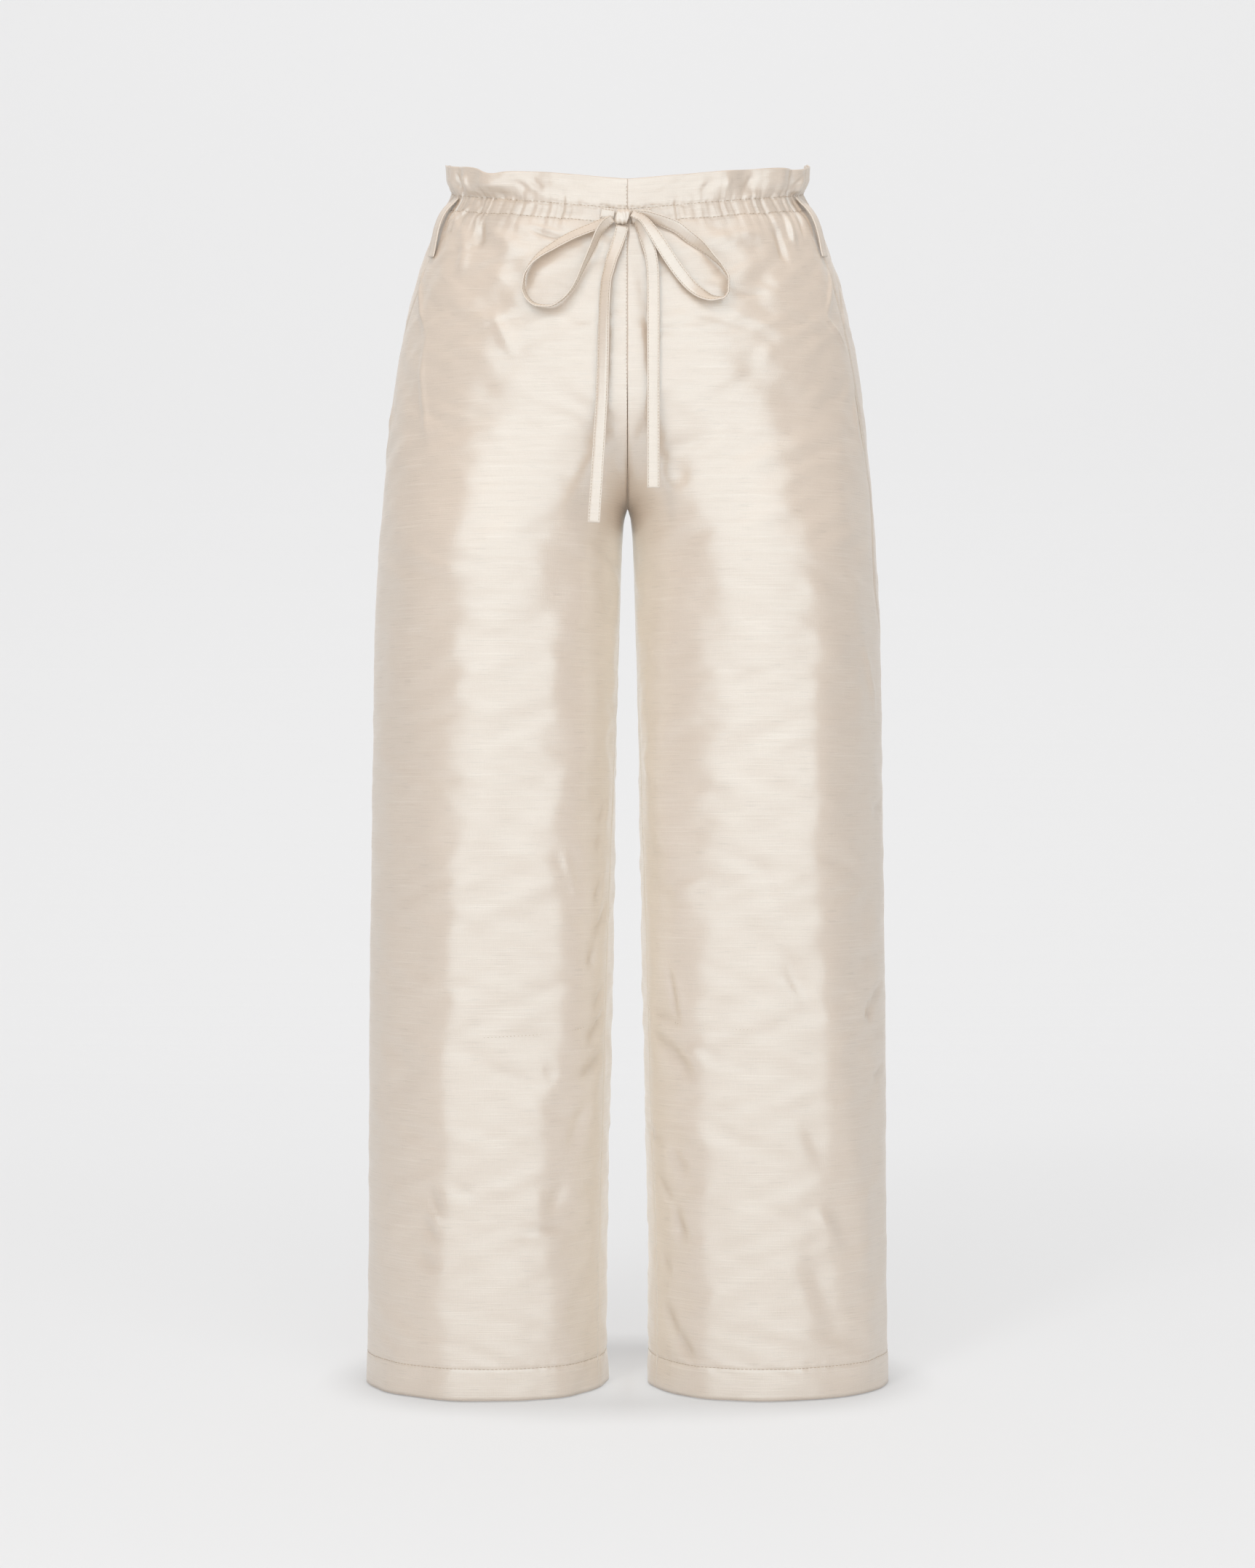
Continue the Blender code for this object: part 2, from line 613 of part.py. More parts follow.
def main():
    for obj in list(bpy.data.objects):
        bpy.data.objects.remove(obj)
    for name, side in (("left", 1), ("right", -1)):
        panel("front_" + name, side, back=False)
        panel("back_" + name, side, back=True)
        pocket("pocket_" + name, side)
        belt_loop("belt_loop_" + name, side)
    knot()
    ribbon("tie_lead_left", LEFT_LEAD, 6)
    ribbon("tie_lead_right", RIGHT_LEAD, 5)
    ribbon("tie_loop_left", LEFT_LOOP, 44)
    ribbon("tie_loop_right", RIGHT_LOOP, 44)
    ribbon("tie_tail_left", LEFT_TAIL, 26)
    ribbon("tie_tail_right", RIGHT_TAIL, 26)


main()
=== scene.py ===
"""Ivory silk trousers with a frilled drawstring waist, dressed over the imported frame.

They are filled out with no wearer inside. The front faces -Y, the wearer's left is +X, +Z is
up, and the origin is the middle of the waist. Lengths are in metres.
"""

import bpy
import numpy as np
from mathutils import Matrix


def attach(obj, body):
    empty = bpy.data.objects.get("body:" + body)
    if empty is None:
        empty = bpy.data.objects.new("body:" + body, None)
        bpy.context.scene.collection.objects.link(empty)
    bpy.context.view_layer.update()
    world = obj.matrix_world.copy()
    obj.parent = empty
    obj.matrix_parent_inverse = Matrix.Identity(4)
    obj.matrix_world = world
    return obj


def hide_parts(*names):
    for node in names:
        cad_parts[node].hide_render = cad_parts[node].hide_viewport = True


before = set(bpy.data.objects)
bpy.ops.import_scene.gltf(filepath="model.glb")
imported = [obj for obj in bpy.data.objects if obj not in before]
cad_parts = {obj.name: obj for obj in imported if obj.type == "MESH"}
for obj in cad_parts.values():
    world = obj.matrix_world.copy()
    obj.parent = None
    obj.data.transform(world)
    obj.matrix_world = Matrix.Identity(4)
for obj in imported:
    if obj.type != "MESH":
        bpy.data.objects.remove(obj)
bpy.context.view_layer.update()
stage = bpy.context.scene

# The camera stands level with the thighs and a little over two metres in front, and sees the
# trousers as the photograph does: in the side seams' plane, 0.6 mm to each of its pixels.
PHOTO_SIZE = (1725, 2156)  # pixels
PIXEL = 0.0006
CAMERA_AWAY = 2.345
CAMERA_Z = -0.4648
FILM = 36.0  # millimetres along the photograph's longer side

camera_data = bpy.data.cameras.new("camera")
camera_data.sensor_width = FILM
camera_data.lens = FILM * CAMERA_AWAY / (PHOTO_SIZE[1] * PIXEL)
camera = bpy.data.objects.new("camera", camera_data)
camera.location = (0, -CAMERA_AWAY, CAMERA_Z)
camera.rotation_euler = (np.pi / 2, 0, 0)
stage.collection.objects.link(camera)
stage.camera = camera


# The front and back panels are plain-woven raw silk, cut in one from the hem to the frill's
# top edge. They are seamed at the sides, inside legs and centres, turned up at the hem, and
# drawn up on a drawstring that runs in a casing stitched below the frill.
WAIST_H = 0.955  # the origin's height above the hem
CROTCH_V = 0.717
FRONT_CROTCH = 0.085
BACK_CROTCH = 0.110
CASING_V = 0.965
FRILL_V = 0.977
TOP_V = 1.0005
HEM_DEEP = 0.025
CLOTH = 0.0009  # thickness of the shell that shows
FRONT_DIP = 0.0315
BACK_RISE = 0.004
HIPS_START = (0.66, 0.81)
EVEN_START = (CROTCH_V, 0.85)
TILT_START = (0.78, 0.96)
SEAM_REACH = 0.16
HIP_SQUARE = 0.025
INSEAM_TURN = 0.13
INSEAM_START = (-0.70, -0.30)
GATHERS_A_TURN = 20
TURN_LONG = 0.27  # metres of cloth in one turn, about
SIDE_TURNS = {"left": 1, "right": -1}

# Height, half width across both legs, depth in front of the side seams and behind them.
SECTIONS = np.array((
    (0.000, 0.2142, 0.0870, 0.0870),
    (0.120, 0.2132, 0.0875, 0.0875),
    (0.240, 0.2130, 0.0890, 0.0890),
    (0.330, 0.2124, 0.0910, 0.0920),
    (0.450, 0.2106, 0.0960, 0.0980),
    (0.550, 0.2094, 0.1010, 0.1060),
    (0.620, 0.2079, 0.1050, 0.1150),
    (0.670, 0.2054, 0.1080, 0.1220),
    (0.717, 0.2019, 0.1100, 0.1300),
    (0.765, 0.1977, 0.1125, 0.1395),
    (0.813, 0.1923, 0.1130, 0.1430),
    (0.861, 0.1842, 0.1115, 0.1360),
    (0.909, 0.1728, 0.1075, 0.1260),
    (0.933, 0.1644, 0.1045, 0.1200),
    (0.957, 0.1563, 0.1000, 0.1130),
    (0.977, 0.1450, 0.0955, 0.1070),
    (1.001, 0.1475, 0.0975, 0.1095),
))

# Height, half the gap between the legs.
GAP = np.array((
    (0.000, 0.0166),
    (0.030, 0.0170),
    (0.120, 0.0168),
    (0.240, 0.0141),
    (0.333, 0.0120),
    (0.450, 0.0102),
    (0.525, 0.0093),
    (0.597, 0.0072),
    (0.669, 0.0051),
    (0.698, 0.0037),
    (0.708, 0.0028),
    (0.717, 0.0001),
    (1.001, 0.0001),
))

# Height, turn of the side seam on the wearer's left and on the wearer's right.
SIDE_SEAM = np.array((
    (0.000, 1.0000, 1.0000),
    (0.400, 1.0000, 1.0000),
    (0.580, 0.9980, 1.0000),
    (0.611, 0.9650, 1.0000),
    (0.640, 0.9150, 1.0000),
    (0.669, 0.9000, 1.0000),
    (0.717, 0.9250, 1.0000),
    (0.7476, 0.9050, 0.9950),
    (0.7714, 0.8850, 0.9850),
    (0.802, 0.8480, 0.9700),
    (0.820, 0.8250, 0.9500),
    (0.850, 0.8050, 0.9100),
    (0.880, 0.7950, 0.8550),
    (0.905, 0.7926, 0.8093),
    (1.001, 0.7926, 0.8093),
))
MOUTH_V = (0.7476, 0.820)
MOUTH_OPEN = 0.040

# Height, how deep the gathers are, how deep the wider folds that run on from them are.
GATHER_DEPTH = np.array((
    (0.860, 0.0000, 0.0000),
    (0.880, 0.0000, 0.0004),
    (0.905, 0.0002, 0.0010),
    (0.930, 0.0005, 0.0013),
    (0.950, 0.0009, 0.0009),
    (0.965, 0.0010, 0.0002),
    (0.971, 0.0012, 0.0000),
    (0.977, 0.0009, 0.0000),
    (0.9815, 0.0010, 0.0002),
    (0.990, 0.0003, 0.0008),
    (1.001, 0.0001, 0.0010),
))

# Soft folds: side (+1 the wearer's left), middle turn, half width as a turn, the height each
# starts at, the height it ends at, how far it stands out.
FOLDS = (
    # The frill's large ruffles.
    (-1, 0.80, 0.150, 0.979, 1.010, 0.0032),
    (-1, 0.61, 0.050, 0.955, 1.004, -0.00165),
    (-1, 0.48, 0.120, 0.979, 1.010, 0.0062),
    (-1, 0.30, 0.080, 0.979, 1.010, -0.0012),
    (-1, 0.97, 0.050, 0.979, 1.010, -0.0022),
    (-1, 1.12, 0.110, 0.979, 1.010, 0.0030),
    (-1, 1.38, 0.100, 0.979, 1.010, -0.0026),
    (-1, 1.62, 0.120, 0.979, 1.010, 0.0040),
    (1, 0.84, 0.120, 0.979, 1.010, 0.0032),
    (1, 0.72, 0.050, 0.955, 1.004, -0.00143),
    (1, 0.60, 0.090, 0.979, 1.010, 0.0036),
    (1, 0.46, 0.070, 0.979, 1.010, -0.0016),
    (1, 0.34, 0.070, 0.979, 1.010, 0.0014),
    (1, 0.98, 0.040, 0.979, 1.010, -0.0020),
    (1, 1.10, 0.110, 0.979, 1.010, 0.0034),
    (1, 1.33, 0.110, 0.979, 1.010, -0.0024),
    (1, 1.58, 0.130, 0.979, 1.010, 0.0036),
    # Folds that fall from the casing.
    (-1, 0.53, 0.050, 0.890, 0.968, -0.00121),
    (-1, 0.64, 0.070, 0.870, 0.960, 0.00121),
    (-1, 0.13, 0.060, 0.860, 0.975, 0.00077),
    (1, 0.10, 0.055, 0.810, 0.965, -0.00110),
    (1, 0.70, 0.060, 0.880, 0.965, 0.00110),
    (1, 0.60, 0.050, 0.890, 0.968, -0.00077),
    (-1, 1.45, 0.080, 0.880, 0.968, -0.00099),
    (1, 1.50, 0.080, 0.880, 0.968, -0.00099),
    # The long flats and ridges of the legs.
    (-1, 0.22, 0.085, 0.030, 0.800, 0.0042),
    (1, 0.19, 0.085, 0.030, 0.800, 0.0042),
    (-1, 0.30, 0.130, 0.080, 0.640, 0.0020),
    (-1, 0.62, 0.130, 0.020, 0.700, 0.0026),
    (-1, 0.78, 0.120, 0.050, 0.760, -0.0026),
    (1, 0.28, 0.130, 0.080, 0.640, 0.0020),
    (1, 0.66, 0.130, 0.020, 0.700, 0.0026),
    (1, 0.82, 0.110, 0.050, 0.760, -0.0024),
    (-1, 1.40, 0.150, 0.050, 0.660, -0.0022),
    (-1, 1.66, 0.150, 0.050, 0.660, 0.0022),
    (1, 1.38, 0.150, 0.050, 0.660, -0.0022),
    (1, 1.68, 0.150, 0.050, 0.660, 0.0022),
)

# Creases that the photograph shows. Each row: where each end is in its pixels, half width
# and height in millimetres. A trough has a height below zero.
SEEN_CREASES = (
    # Beside the inside seam of the wearer's right leg.
    (834, 1102, 822, 1134, 4.1, -0.9),
    (829, 1146, 820, 1168, 4.1, -0.8),
    (827, 1210, 817, 1240, 4.1, -1.0),
    (834, 1246, 817, 1288, 4.6, -1.1),
    (819, 1300, 810, 1328, 4.1, -0.9),
    (829, 1360, 815, 1388, 4.3, -0.9),
    (830, 1392, 806, 1438, 4.9, -1.3),
    (828, 1446, 796, 1484, 5.4, -1.4),
    (811, 1504, 782, 1584, 6.8, -1.0),
    (779, 1622, 749, 1676, 6.8, -0.9),
    # The wearer's right leg, front.
    (772, 1166, 786, 1212, 3.2, 0.5),
    (784, 1206, 792, 1232, 2.7, 0.4),
    (670, 1473, 730, 1482, 3.5, -0.5),
    (745, 1466, 764, 1482, 3.5, -0.6),
    (708, 1692, 774, 1687, 3.5, -0.9),
    (706, 1700, 782, 1696, 4.1, 0.6),
    (708, 1708, 728, 1712, 3.2, -0.5),
    (588, 1628, 608, 1678, 4.1, -0.7),
    (578, 1672, 606, 1712, 4.6, -0.8),
    (572, 1720, 604, 1748, 5.4, -0.7),
    (592, 1668, 607, 1688, 4.1, 0.6),
    (526, 1522, 560, 1541, 5.4, 0.5),
    (626, 1632, 653, 1642, 3.2, -0.6),
    # Beside the inside seam of the wearer's left leg.
    (894, 1388, 934, 1406, 4.1, -1.1),
    (896, 1418, 930, 1452, 5.4, -1.0),
    (918, 1438, 956, 1484, 4.1, -1.6),
    (944, 1434, 996, 1463, 5.4, -0.8),
    (938, 1444, 982, 1461, 4.1, 0.6),
    (994, 1454, 1046, 1479, 3.0, -0.4),
    (918, 1326, 933, 1404, 3.2, -0.8),
    (925, 1330, 941, 1402, 4.6, 0.5),
    (910, 1226, 930, 1251, 6.8, -0.6),
    (890, 1549, 917, 1573, 3.5, -1.0),
    (920, 1581, 947, 1616, 5.4, -0.9),
    (903, 1613, 928, 1658, 4.1, -1.1),
    (926, 1650, 941, 1710, 5.4, -1.2),
    (914, 1640, 950, 1692, 4.1, 0.5),
    (908, 1728, 924, 1748, 4.1, -0.9),
    (914, 1795, 932, 1836, 5.4, -1.1),
    (928, 1830, 957, 1872, 4.6, -1.2),
    # The wearer's left leg, front and outside.
    (1036, 1172, 1074, 1261, 6.0, -0.7),
    (1072, 1298, 1120, 1397, 6.0, -0.9),
    (1102, 1520, 1136, 1614, 8.0, -0.62),
    (1142, 1654, 1174, 1736, 8.0, -0.60),
    (1108, 1706, 1154, 1852, 10.0, -0.95),
    (1124, 1660, 1150, 1712, 6.0, 0.7),
    (1212, 1354, 1197, 1378, 4.1, -1.2),
    (1198, 1374, 1192, 1406, 4.6, -1.0),
    (1214, 1464, 1199, 1483, 3.5, -1.5),
    (1214, 1418, 1200, 1424, 3.2, -0.9),
    (1176, 1324, 1214, 1309, 6.0, -0.8),
    (1199, 1118, 1212, 1103, 4.1, -0.8),
    # The frill and its pinches.
    (655, 262, 662, 279, 1.8, -2.3),
    (660, 266, 700, 269, 3.4, -2.5),
    (684, 266, 726, 276, 3.0, -2.4),
    (624, 252, 634, 261, 2.4, -1.5),
    (625, 236, 632, 258, 2.6, -1.4),
    (642, 238, 650, 262, 4.0, 0.9),
    (612, 262, 626, 282, 1.6, -1.4),
    (726, 244, 748, 262, 3.0, -0.5),
    (706, 246, 728, 262, 2.4, -0.6),
    (1040, 237, 1019, 270, 4.0, -0.7),
    (982, 243, 962, 268, 4.5, -0.6),
    (1004, 246, 996, 262, 3.0, 0.5),
    (1073, 263, 1100, 268, 1.6, -1.6),
    (1090, 264, 1097, 274, 1.6, -1.5),
    (1060, 262, 1078, 270, 1.5, -1.2),
    (1101, 236, 1086, 258, 2.0, -1.0),
    # The waist and hips on the wearer's right.
    (656, 278, 609, 324, 3.0, 1.4),
    (659, 274, 664, 304, 2.6, -1.8),
    (664, 302, 661, 342, 5.0, -1.0),
    (640, 322, 636, 378, 7.0, 1.0),
    (668, 298, 722, 356, 8.0, 0.7),
    (727, 308, 776, 323, 2.2, 0.9),
    (726, 314, 774, 329, 3.0, -0.8),
    (700, 352, 716, 396, 9.0, -0.4),
    (680, 384, 696, 430, 9.0, -0.4),
    (677, 428, 710, 488, 4.0, 0.6),
    (583, 360, 588, 466, 3.0, 0.7),
    (588, 460, 588, 614, 4.0, 0.6),
    # The waist and hips on the wearer's left.
    (1064, 306, 1082, 366, 5.0, -1.4),
    (1074, 290, 1095, 340, 4.0, 1.6),
    (1093, 290, 1104, 328, 3.0, -1.5),
    (968, 330, 1050, 320, 6.0, 0.9),
    (1014, 404, 1054, 402, 3.0, -0.4),
    (1042, 500, 1062, 470, 7.0, 0.3),
    (1138, 366, 1136, 432, 3.4, 0.8),
    (1135, 434, 1164, 484, 2.6, 0.7),
    (1150, 380, 1158, 440, 3.0, -0.7),
    (908, 617, 984, 603, 4.0, -0.7),
    (924, 626, 942, 664, 9.0, -1.0),
    (880, 330, 884, 548, 6.0, -0.8),
    (1188, 884, 1204, 986, 4.0, 0.7),
)

# Creases of the back, which the photograph doesn't show: side, turn and height of each end,
# half width and height in millimetres.
HIDDEN_CREASES = (
    (-1, 1.93, 0.420, 1.84, 0.385, 4.0, -1.1),
    (-1, 1.94, 0.370, 1.82, 0.325, 5.0, -1.3),
    (-1, 1.93, 0.300, 1.84, 0.265, 4.0, -1.0),
    (-1, 1.92, 0.210, 1.80, 0.165, 5.0, -1.1),
    (-1, 1.30, 0.330, 1.16, 0.350, 5.0, -0.8),
    (-1, 1.55, 0.250, 1.42, 0.150, 8.0, -1.1),
    (-1, 1.20, 0.230, 1.08, 0.270, 4.0, -0.9),
    (-1, 1.93, 0.690, 1.70, 0.660, 7.0, -1.4),
    (-1, 1.90, 0.650, 1.62, 0.610, 9.0, -1.4),
    (-1, 1.80, 0.735, 1.50, 0.700, 9.0, 1.0),
    (-1, 1.52, 0.930, 1.44, 0.860, 6.0, -1.0),
    (-1, 1.80, 0.940, 1.84, 0.890, 5.0, -0.9),
    (-1, 1.24, 0.930, 1.22, 0.880, 5.0, 1.0),
    (1, 1.94, 0.400, 1.83, 0.360, 4.0, -1.2),
    (1, 1.93, 0.340, 1.80, 0.300, 5.0, -1.1),
    (1, 1.94, 0.255, 1.84, 0.225, 4.0, -1.0),
    (1, 1.90, 0.150, 1.78, 0.105, 6.0, -1.1),
    (1, 1.34, 0.290, 1.18, 0.315, 5.0, -0.9),
    (1, 1.58, 0.300, 1.44, 0.180, 8.0, -1.2),
    (1, 1.16, 0.190, 1.04, 0.225, 4.0, -1.0),
    (1, 1.94, 0.685, 1.68, 0.650, 7.0, -1.3),
    (1, 1.90, 0.640, 1.60, 0.590, 9.0, -1.5),
    (1, 1.78, 0.730, 1.48, 0.705, 9.0, 1.0),
    (1, 1.46, 0.935, 1.42, 0.865, 6.0, -1.0),
    (1, 1.74, 0.940, 1.80, 0.880, 5.0, -0.9),
    (1, 1.20, 0.935, 1.16, 0.880, 5.0, 1.0),
)

# Where the satin bands of the legs begin and end: a soft ridge runs along each edge. Each
# row: height, turn.
BAND_EDGES = {
    (-1, "inner"): np.array((
        (0.028, 0.300), (0.110, 0.347), (0.159, 0.388), (0.207, 0.395), (0.254, 0.347),
        (0.298, 0.313), (0.366, 0.316), (0.446, 0.365), (0.516, 0.291), (0.573, 0.343),
        (0.673, 0.214),
    )),
    (-1, "outer"): np.array((
        (0.028, 0.610), (0.110, 0.614), (0.190, 0.603), (0.254, 0.614), (0.318, 0.588),
        (0.404, 0.584), (0.478, 0.527), (0.540, 0.520), (0.673, 0.500),
    )),
    (1, "inner"): np.array((
        (0.028, 0.330), (0.245, 0.337), (0.362, 0.305), (0.477, 0.204), (0.673, 0.221),
    )),
    (1, "outer"): np.array((
        (0.028, 0.800), (0.154, 0.785), (0.220, 0.722), (0.292, 0.676), (0.350, 0.660),
        (0.446, 0.641), (0.606, 0.668), (0.673, 0.660),
    )),
}
BAND_RIDGE = 0.0018
BAND_RIDGE_WIDE = 0.015

# The pick-stitched line across each calf, where the hem of a lining is caught to the silk:
# side, then turn and height along it.
CALF_LINES = {
    -1: np.array([(0.146, 0.3004), (0.325, 0.2916), (0.526, 0.2890)]),
    1: np.array([(0.134, 0.3080), (0.231, 0.3004), (0.325, 0.2954), (0.519, 0.2954)]),
}


def smooth(value, low, high):
    """0 below low, 1 above high, and an even slope between."""
    share = np.clip((value - low) / (high - low), 0, 1)
    return share * share * (3 - 2 * share)


def along(value, table, column):
    """The table's column at this value of its first column, on a smooth curve through its rows.

    Each stretch is a cubic. Its end slopes are harmonic means of the chords beside them, so
    the curve never swings past a row.
    """
    at, height = table[:, 0], table[:, column]
    chord = np.diff(height) / np.diff(at)
    steady = chord[:-1] * chord[1:] > 0
    total = np.where(steady, chord[:-1] + chord[1:], 1)
    inside = np.where(steady, 2 * chord[:-1] * chord[1:] / total, 0)
    slope = np.concatenate([chord[:1], inside, chord[-1:]])
    row = np.clip(np.searchsorted(at, value, side="right") - 1, 0, len(at) - 2)
    step = at[row + 1] - at[row]
    s = np.clip((value - at[row]) / step, 0, 1)
    return (
        height[row] * (1 + 2 * s) * (1 - s) ** 2
        + slope[row] * step * s * (1 - s) ** 2
        + height[row + 1] * s * s * (3 - 2 * s)
        + slope[row + 1] * step * s * s * (s - 1)
    )


def waist_drop(t):
    """How far the waist lies above or below its height at the side seam.

    It dips to the front in step with the turn's power of 1.2, and rises a little to the back.
    """
    t = np.minimum(np.abs(t), 4 - t)
    front = -FRONT_DIP * (1 - np.clip(t, 0, 1) ** 1.2)
    back = BACK_RISE * (1 - np.exp(-9.5 * np.clip(t - 1, 0, 1)))
    return front + back


def form(t, v):
    """A point of the filled-out form, for the wearer's left half.

    The turn t is 0 at the middle of the front or the inside of the leg, 1 at the side seam
    and 2 at the middle of the back. The height v is a ring of thread's height above the hem
    at the side seam. Low down the rings are ovals round a leg, and at the hips each becomes
    half of an oval round both. Next to the centre seams the change follows a quarter of an
    ellipse, which gives the curve of the crotch.
    """
    side, front, back = (along(v, SECTIONS, column) for column in (1, 2, 3))
    gap = np.interp(v, GAP[:, 0], GAP[:, 1])
    across = np.sin(np.pi * t / 2) ** 2
    over_leg = np.arcsin(across)
    over_leg = np.where(t > 1, np.pi - over_leg, over_leg)
    even = smooth(v, *EVEN_START)
    angle = over_leg + (np.pi * t / 2 - over_leg) * even
    full = 1 + HIP_SQUARE * even * np.sin(2 * angle) ** 2
    x = side * full * np.sin(angle) + gap * (1 - across) ** 3
    leg_y = -np.where(t % 2 < 1, front, back) * np.sin(np.pi * t)
    hip_y = -np.where(t < 1, front, back) * full * np.cos(angle)
    rise = 1 - np.clip((v - CROTCH_V) / np.where(t % 2 < 1, FRONT_CROTCH, BACK_CROTCH), 0, 1)
    at_seam = np.sqrt(1 - rise * rise)
    away = smooth(v, *HIPS_START)
    nearness = np.exp(-((np.minimum(np.abs(t), np.abs(2 - t)) / SEAM_REACH) ** 2))
    hips = at_seam * nearness + away * (1 - nearness)
    z = v - WAIST_H + waist_drop(t) * smooth(v, *TILT_START)
    return np.stack([x, leg_y + (hip_y - leg_y) * hips, z], -1)


def outward(t, v):
    """The direction out of the form, square to it: the cross of its two slopes."""
    dt, dv = 0.01, 0.003
    round_it = form(t + dt, v) - form(t - dt, v)
    up_it = form(t, v + dv) - form(t, np.maximum(v - dv, 0))
    normal = np.cross(round_it, up_it)
    return normal / np.linalg.norm(normal, axis=-1, keepdims=True)


def gather_count(t, side):
    """How many gathers lie between the middle of the front and this turn, unevenly spaced."""
    uneven = 0.22 * np.sin(np.pi * t * 5) + 0.07 * side * np.sin(np.pi * t * 13)
    return GATHERS_A_TURN * t + uneven


def large_folds(t, v, side):
    """How far the gathers' bodies, the wider folds below them and the single folds stand out.

    The gathers are a cosine of the gather count, and each single fold is a bell across its
    turn that fades in and out along its height.
    """
    t = np.where(t > 2, t - 2, t)
    count = gather_count(t, side)
    edge = np.minimum(np.abs(t), np.abs(2 - t))
    calm = 0.2 + 0.8 * smooth(edge, 0.05, 0.22)
    to_side = smooth(edge, 0.30, 0.62)
    near_casing = smooth(v, 0.932, 0.958)
    out = along(v, GATHER_DEPTH, 1) * np.cos(2 * np.pi * count) * calm * near_casing
    out = out * (0.15 + 0.25 * to_side)
    wide = np.cos(2 * np.pi * count / 2.5 + 1.3 * side)
    out = out + along(v, GATHER_DEPTH, 2) * wide * (0.08 + 0.18 * to_side)
    for fold_side, middle, half_width, low, high, height in FOLDS:
        if fold_side == side:
            across = np.exp(-(((t - middle) / half_width) ** 2))
            reach = (high - low) * 0.35
            lengthwise = smooth(v, low, low + reach) * smooth(-v, -high, reach - high)
            out = out + height * across * lengthwise
    return out


COSINE_MEAN = 0.64  # of a cosine's size
ROUND_GATHER = 0.0006
HALF_GATHER = 0.0011
# Each stitched line's height, and how deep it pulls in.
PINCHES = ((CASING_V, 0.0008), (FRILL_V, 0.0015))


def fine_gathers(t, v, side):
    """The pinched small gathers: sharp valleys between round ridges, deepest at the stitching.

    Each is the size of a cosine, less its mean, so that it meets its neighbour in a sharp
    valley. They differ in strength and in how far they run down from the casing, by slow
    waves of the gather count. Each stitched line pulls in a little between the ridges.
    """
    t = np.where(t > 2, t - 2, t)
    count = gather_count(t, side)
    edge = np.minimum(np.abs(t), np.abs(2 - t))
    calm = 0.30 + 0.70 * smooth(edge, 0.05, 0.24)
    to_side = smooth(edge, 0.42, 0.66)
    strength = 0.70 + 0.5 * np.sin(1.93 * count + side) + 0.3 * np.sin(3.71 * count + 2 * side)
    reach = 0.0042 + 0.0020 * np.sin(2.31 * count + 2) + 0.0015 * np.sin(5.3 * count + side)
    reach = reach + (0.009 + 0.006 * np.sin(1.7 * count)) * to_side
    slant = 0.10 * side * np.sin(0.9 * count) * (v - CASING_V) / 0.02
    below = smooth(v, CASING_V - 2.2 * reach, CASING_V + 0.002)
    above = 1 - 0.93 * smooth(v, FRILL_V - 0.001, FRILL_V + 0.009)
    round_ridge = np.abs(np.cos(np.pi * (count + slant))) - COSINE_MEAN
    half_gather = np.abs(np.cos(2 * np.pi * count + 1.1 * side + slant)) - COSINE_MEAN
    out = ROUND_GATHER * round_ridge + HALF_GATHER * half_gather
    out = out * strength * below * above * calm
    pucker = 0.5 + 0.5 * np.cos(2 * np.pi * 2 * count + side)
    for stitched, deep in PINCHES:
        pinch = np.exp(-(((v - stitched - 0.0006 * np.sin(4.1 * count)) / 0.0012) ** 2))
        out = out - deep * pinch * (0.45 + 0.55 * pucker)
    return out


# The frill's lobes, which stand out over the casing. Each row: side, turn, half width as a
# turn, height, how fast each rises.
FRILL_LOBES = (
    (-1, 0.840, 0.060, 0.0028, 0.006),
    (-1, 0.735, 0.030, -0.0034, 0.010),
    (-1, 0.640, 0.055, 0.0048, 0.006),
    (-1, 0.535, 0.060, 0.0044, 0.0035),
    (-1, 0.405, 0.040, -0.0012, 0.008),
    (-1, 0.300, 0.060, 0.0010, 0.006),
    (1, 0.860, 0.050, 0.0026, 0.006),
    (1, 0.765, 0.050, 0.0042, 0.004),
    (1, 0.690, 0.022, -0.0030, 0.010),
    (1, 0.610, 0.050, 0.0022, 0.006),
    (1, 0.470, 0.050, -0.0012, 0.008),
    (1, 0.360, 0.060, 0.0012, 0.006),
    (-1, 1.100, 0.050, 0.0034, 0.004),
    (-1, 1.300, 0.060, 0.0022, 0.006),
    (-1, 1.520, 0.050, 0.0032, 0.005),
    (-1, 1.760, 0.060, 0.0022, 0.006),
    (1, 1.080, 0.050, 0.0030, 0.004),
    (1, 1.250, 0.060, 0.0026, 0.006),
    (1, 1.480, 0.050, 0.0030, 0.005),
    (1, 1.700, 0.060, 0.0024, 0.006),
)

# Where the frill's top edge hangs lower. Each row: side, turn, half width as a turn, metres.
EDGE_DIPS = (
    (-1, 0.495, 0.060, 0.0044),
    (-1, 0.400, 0.060, 0.0012),
    (-1, 0.880, 0.030, -0.0008),
    (1, 0.720, 0.100, 0.0024),
    (1, 0.930, 0.030, -0.0010),
    (-1, 1.200, 0.080, 0.0030),
    (-1, 1.640, 0.090, 0.0022),
    (1, 1.160, 0.080, 0.0024),
    (1, 1.600, 0.090, 0.0026),
)


def edge_drop(t, v, side):
    """How far the frill hangs down: bells across the turn that grow from its stitched line."""
    out = np.zeros_like(t)
    for dip_side, middle, half_width, height in EDGE_DIPS:
        if dip_side == side:
            out -= height * np.exp(-(((t - middle) / half_width) ** 2))
    return out * smooth(v, FRILL_V + 0.002, TOP_V)


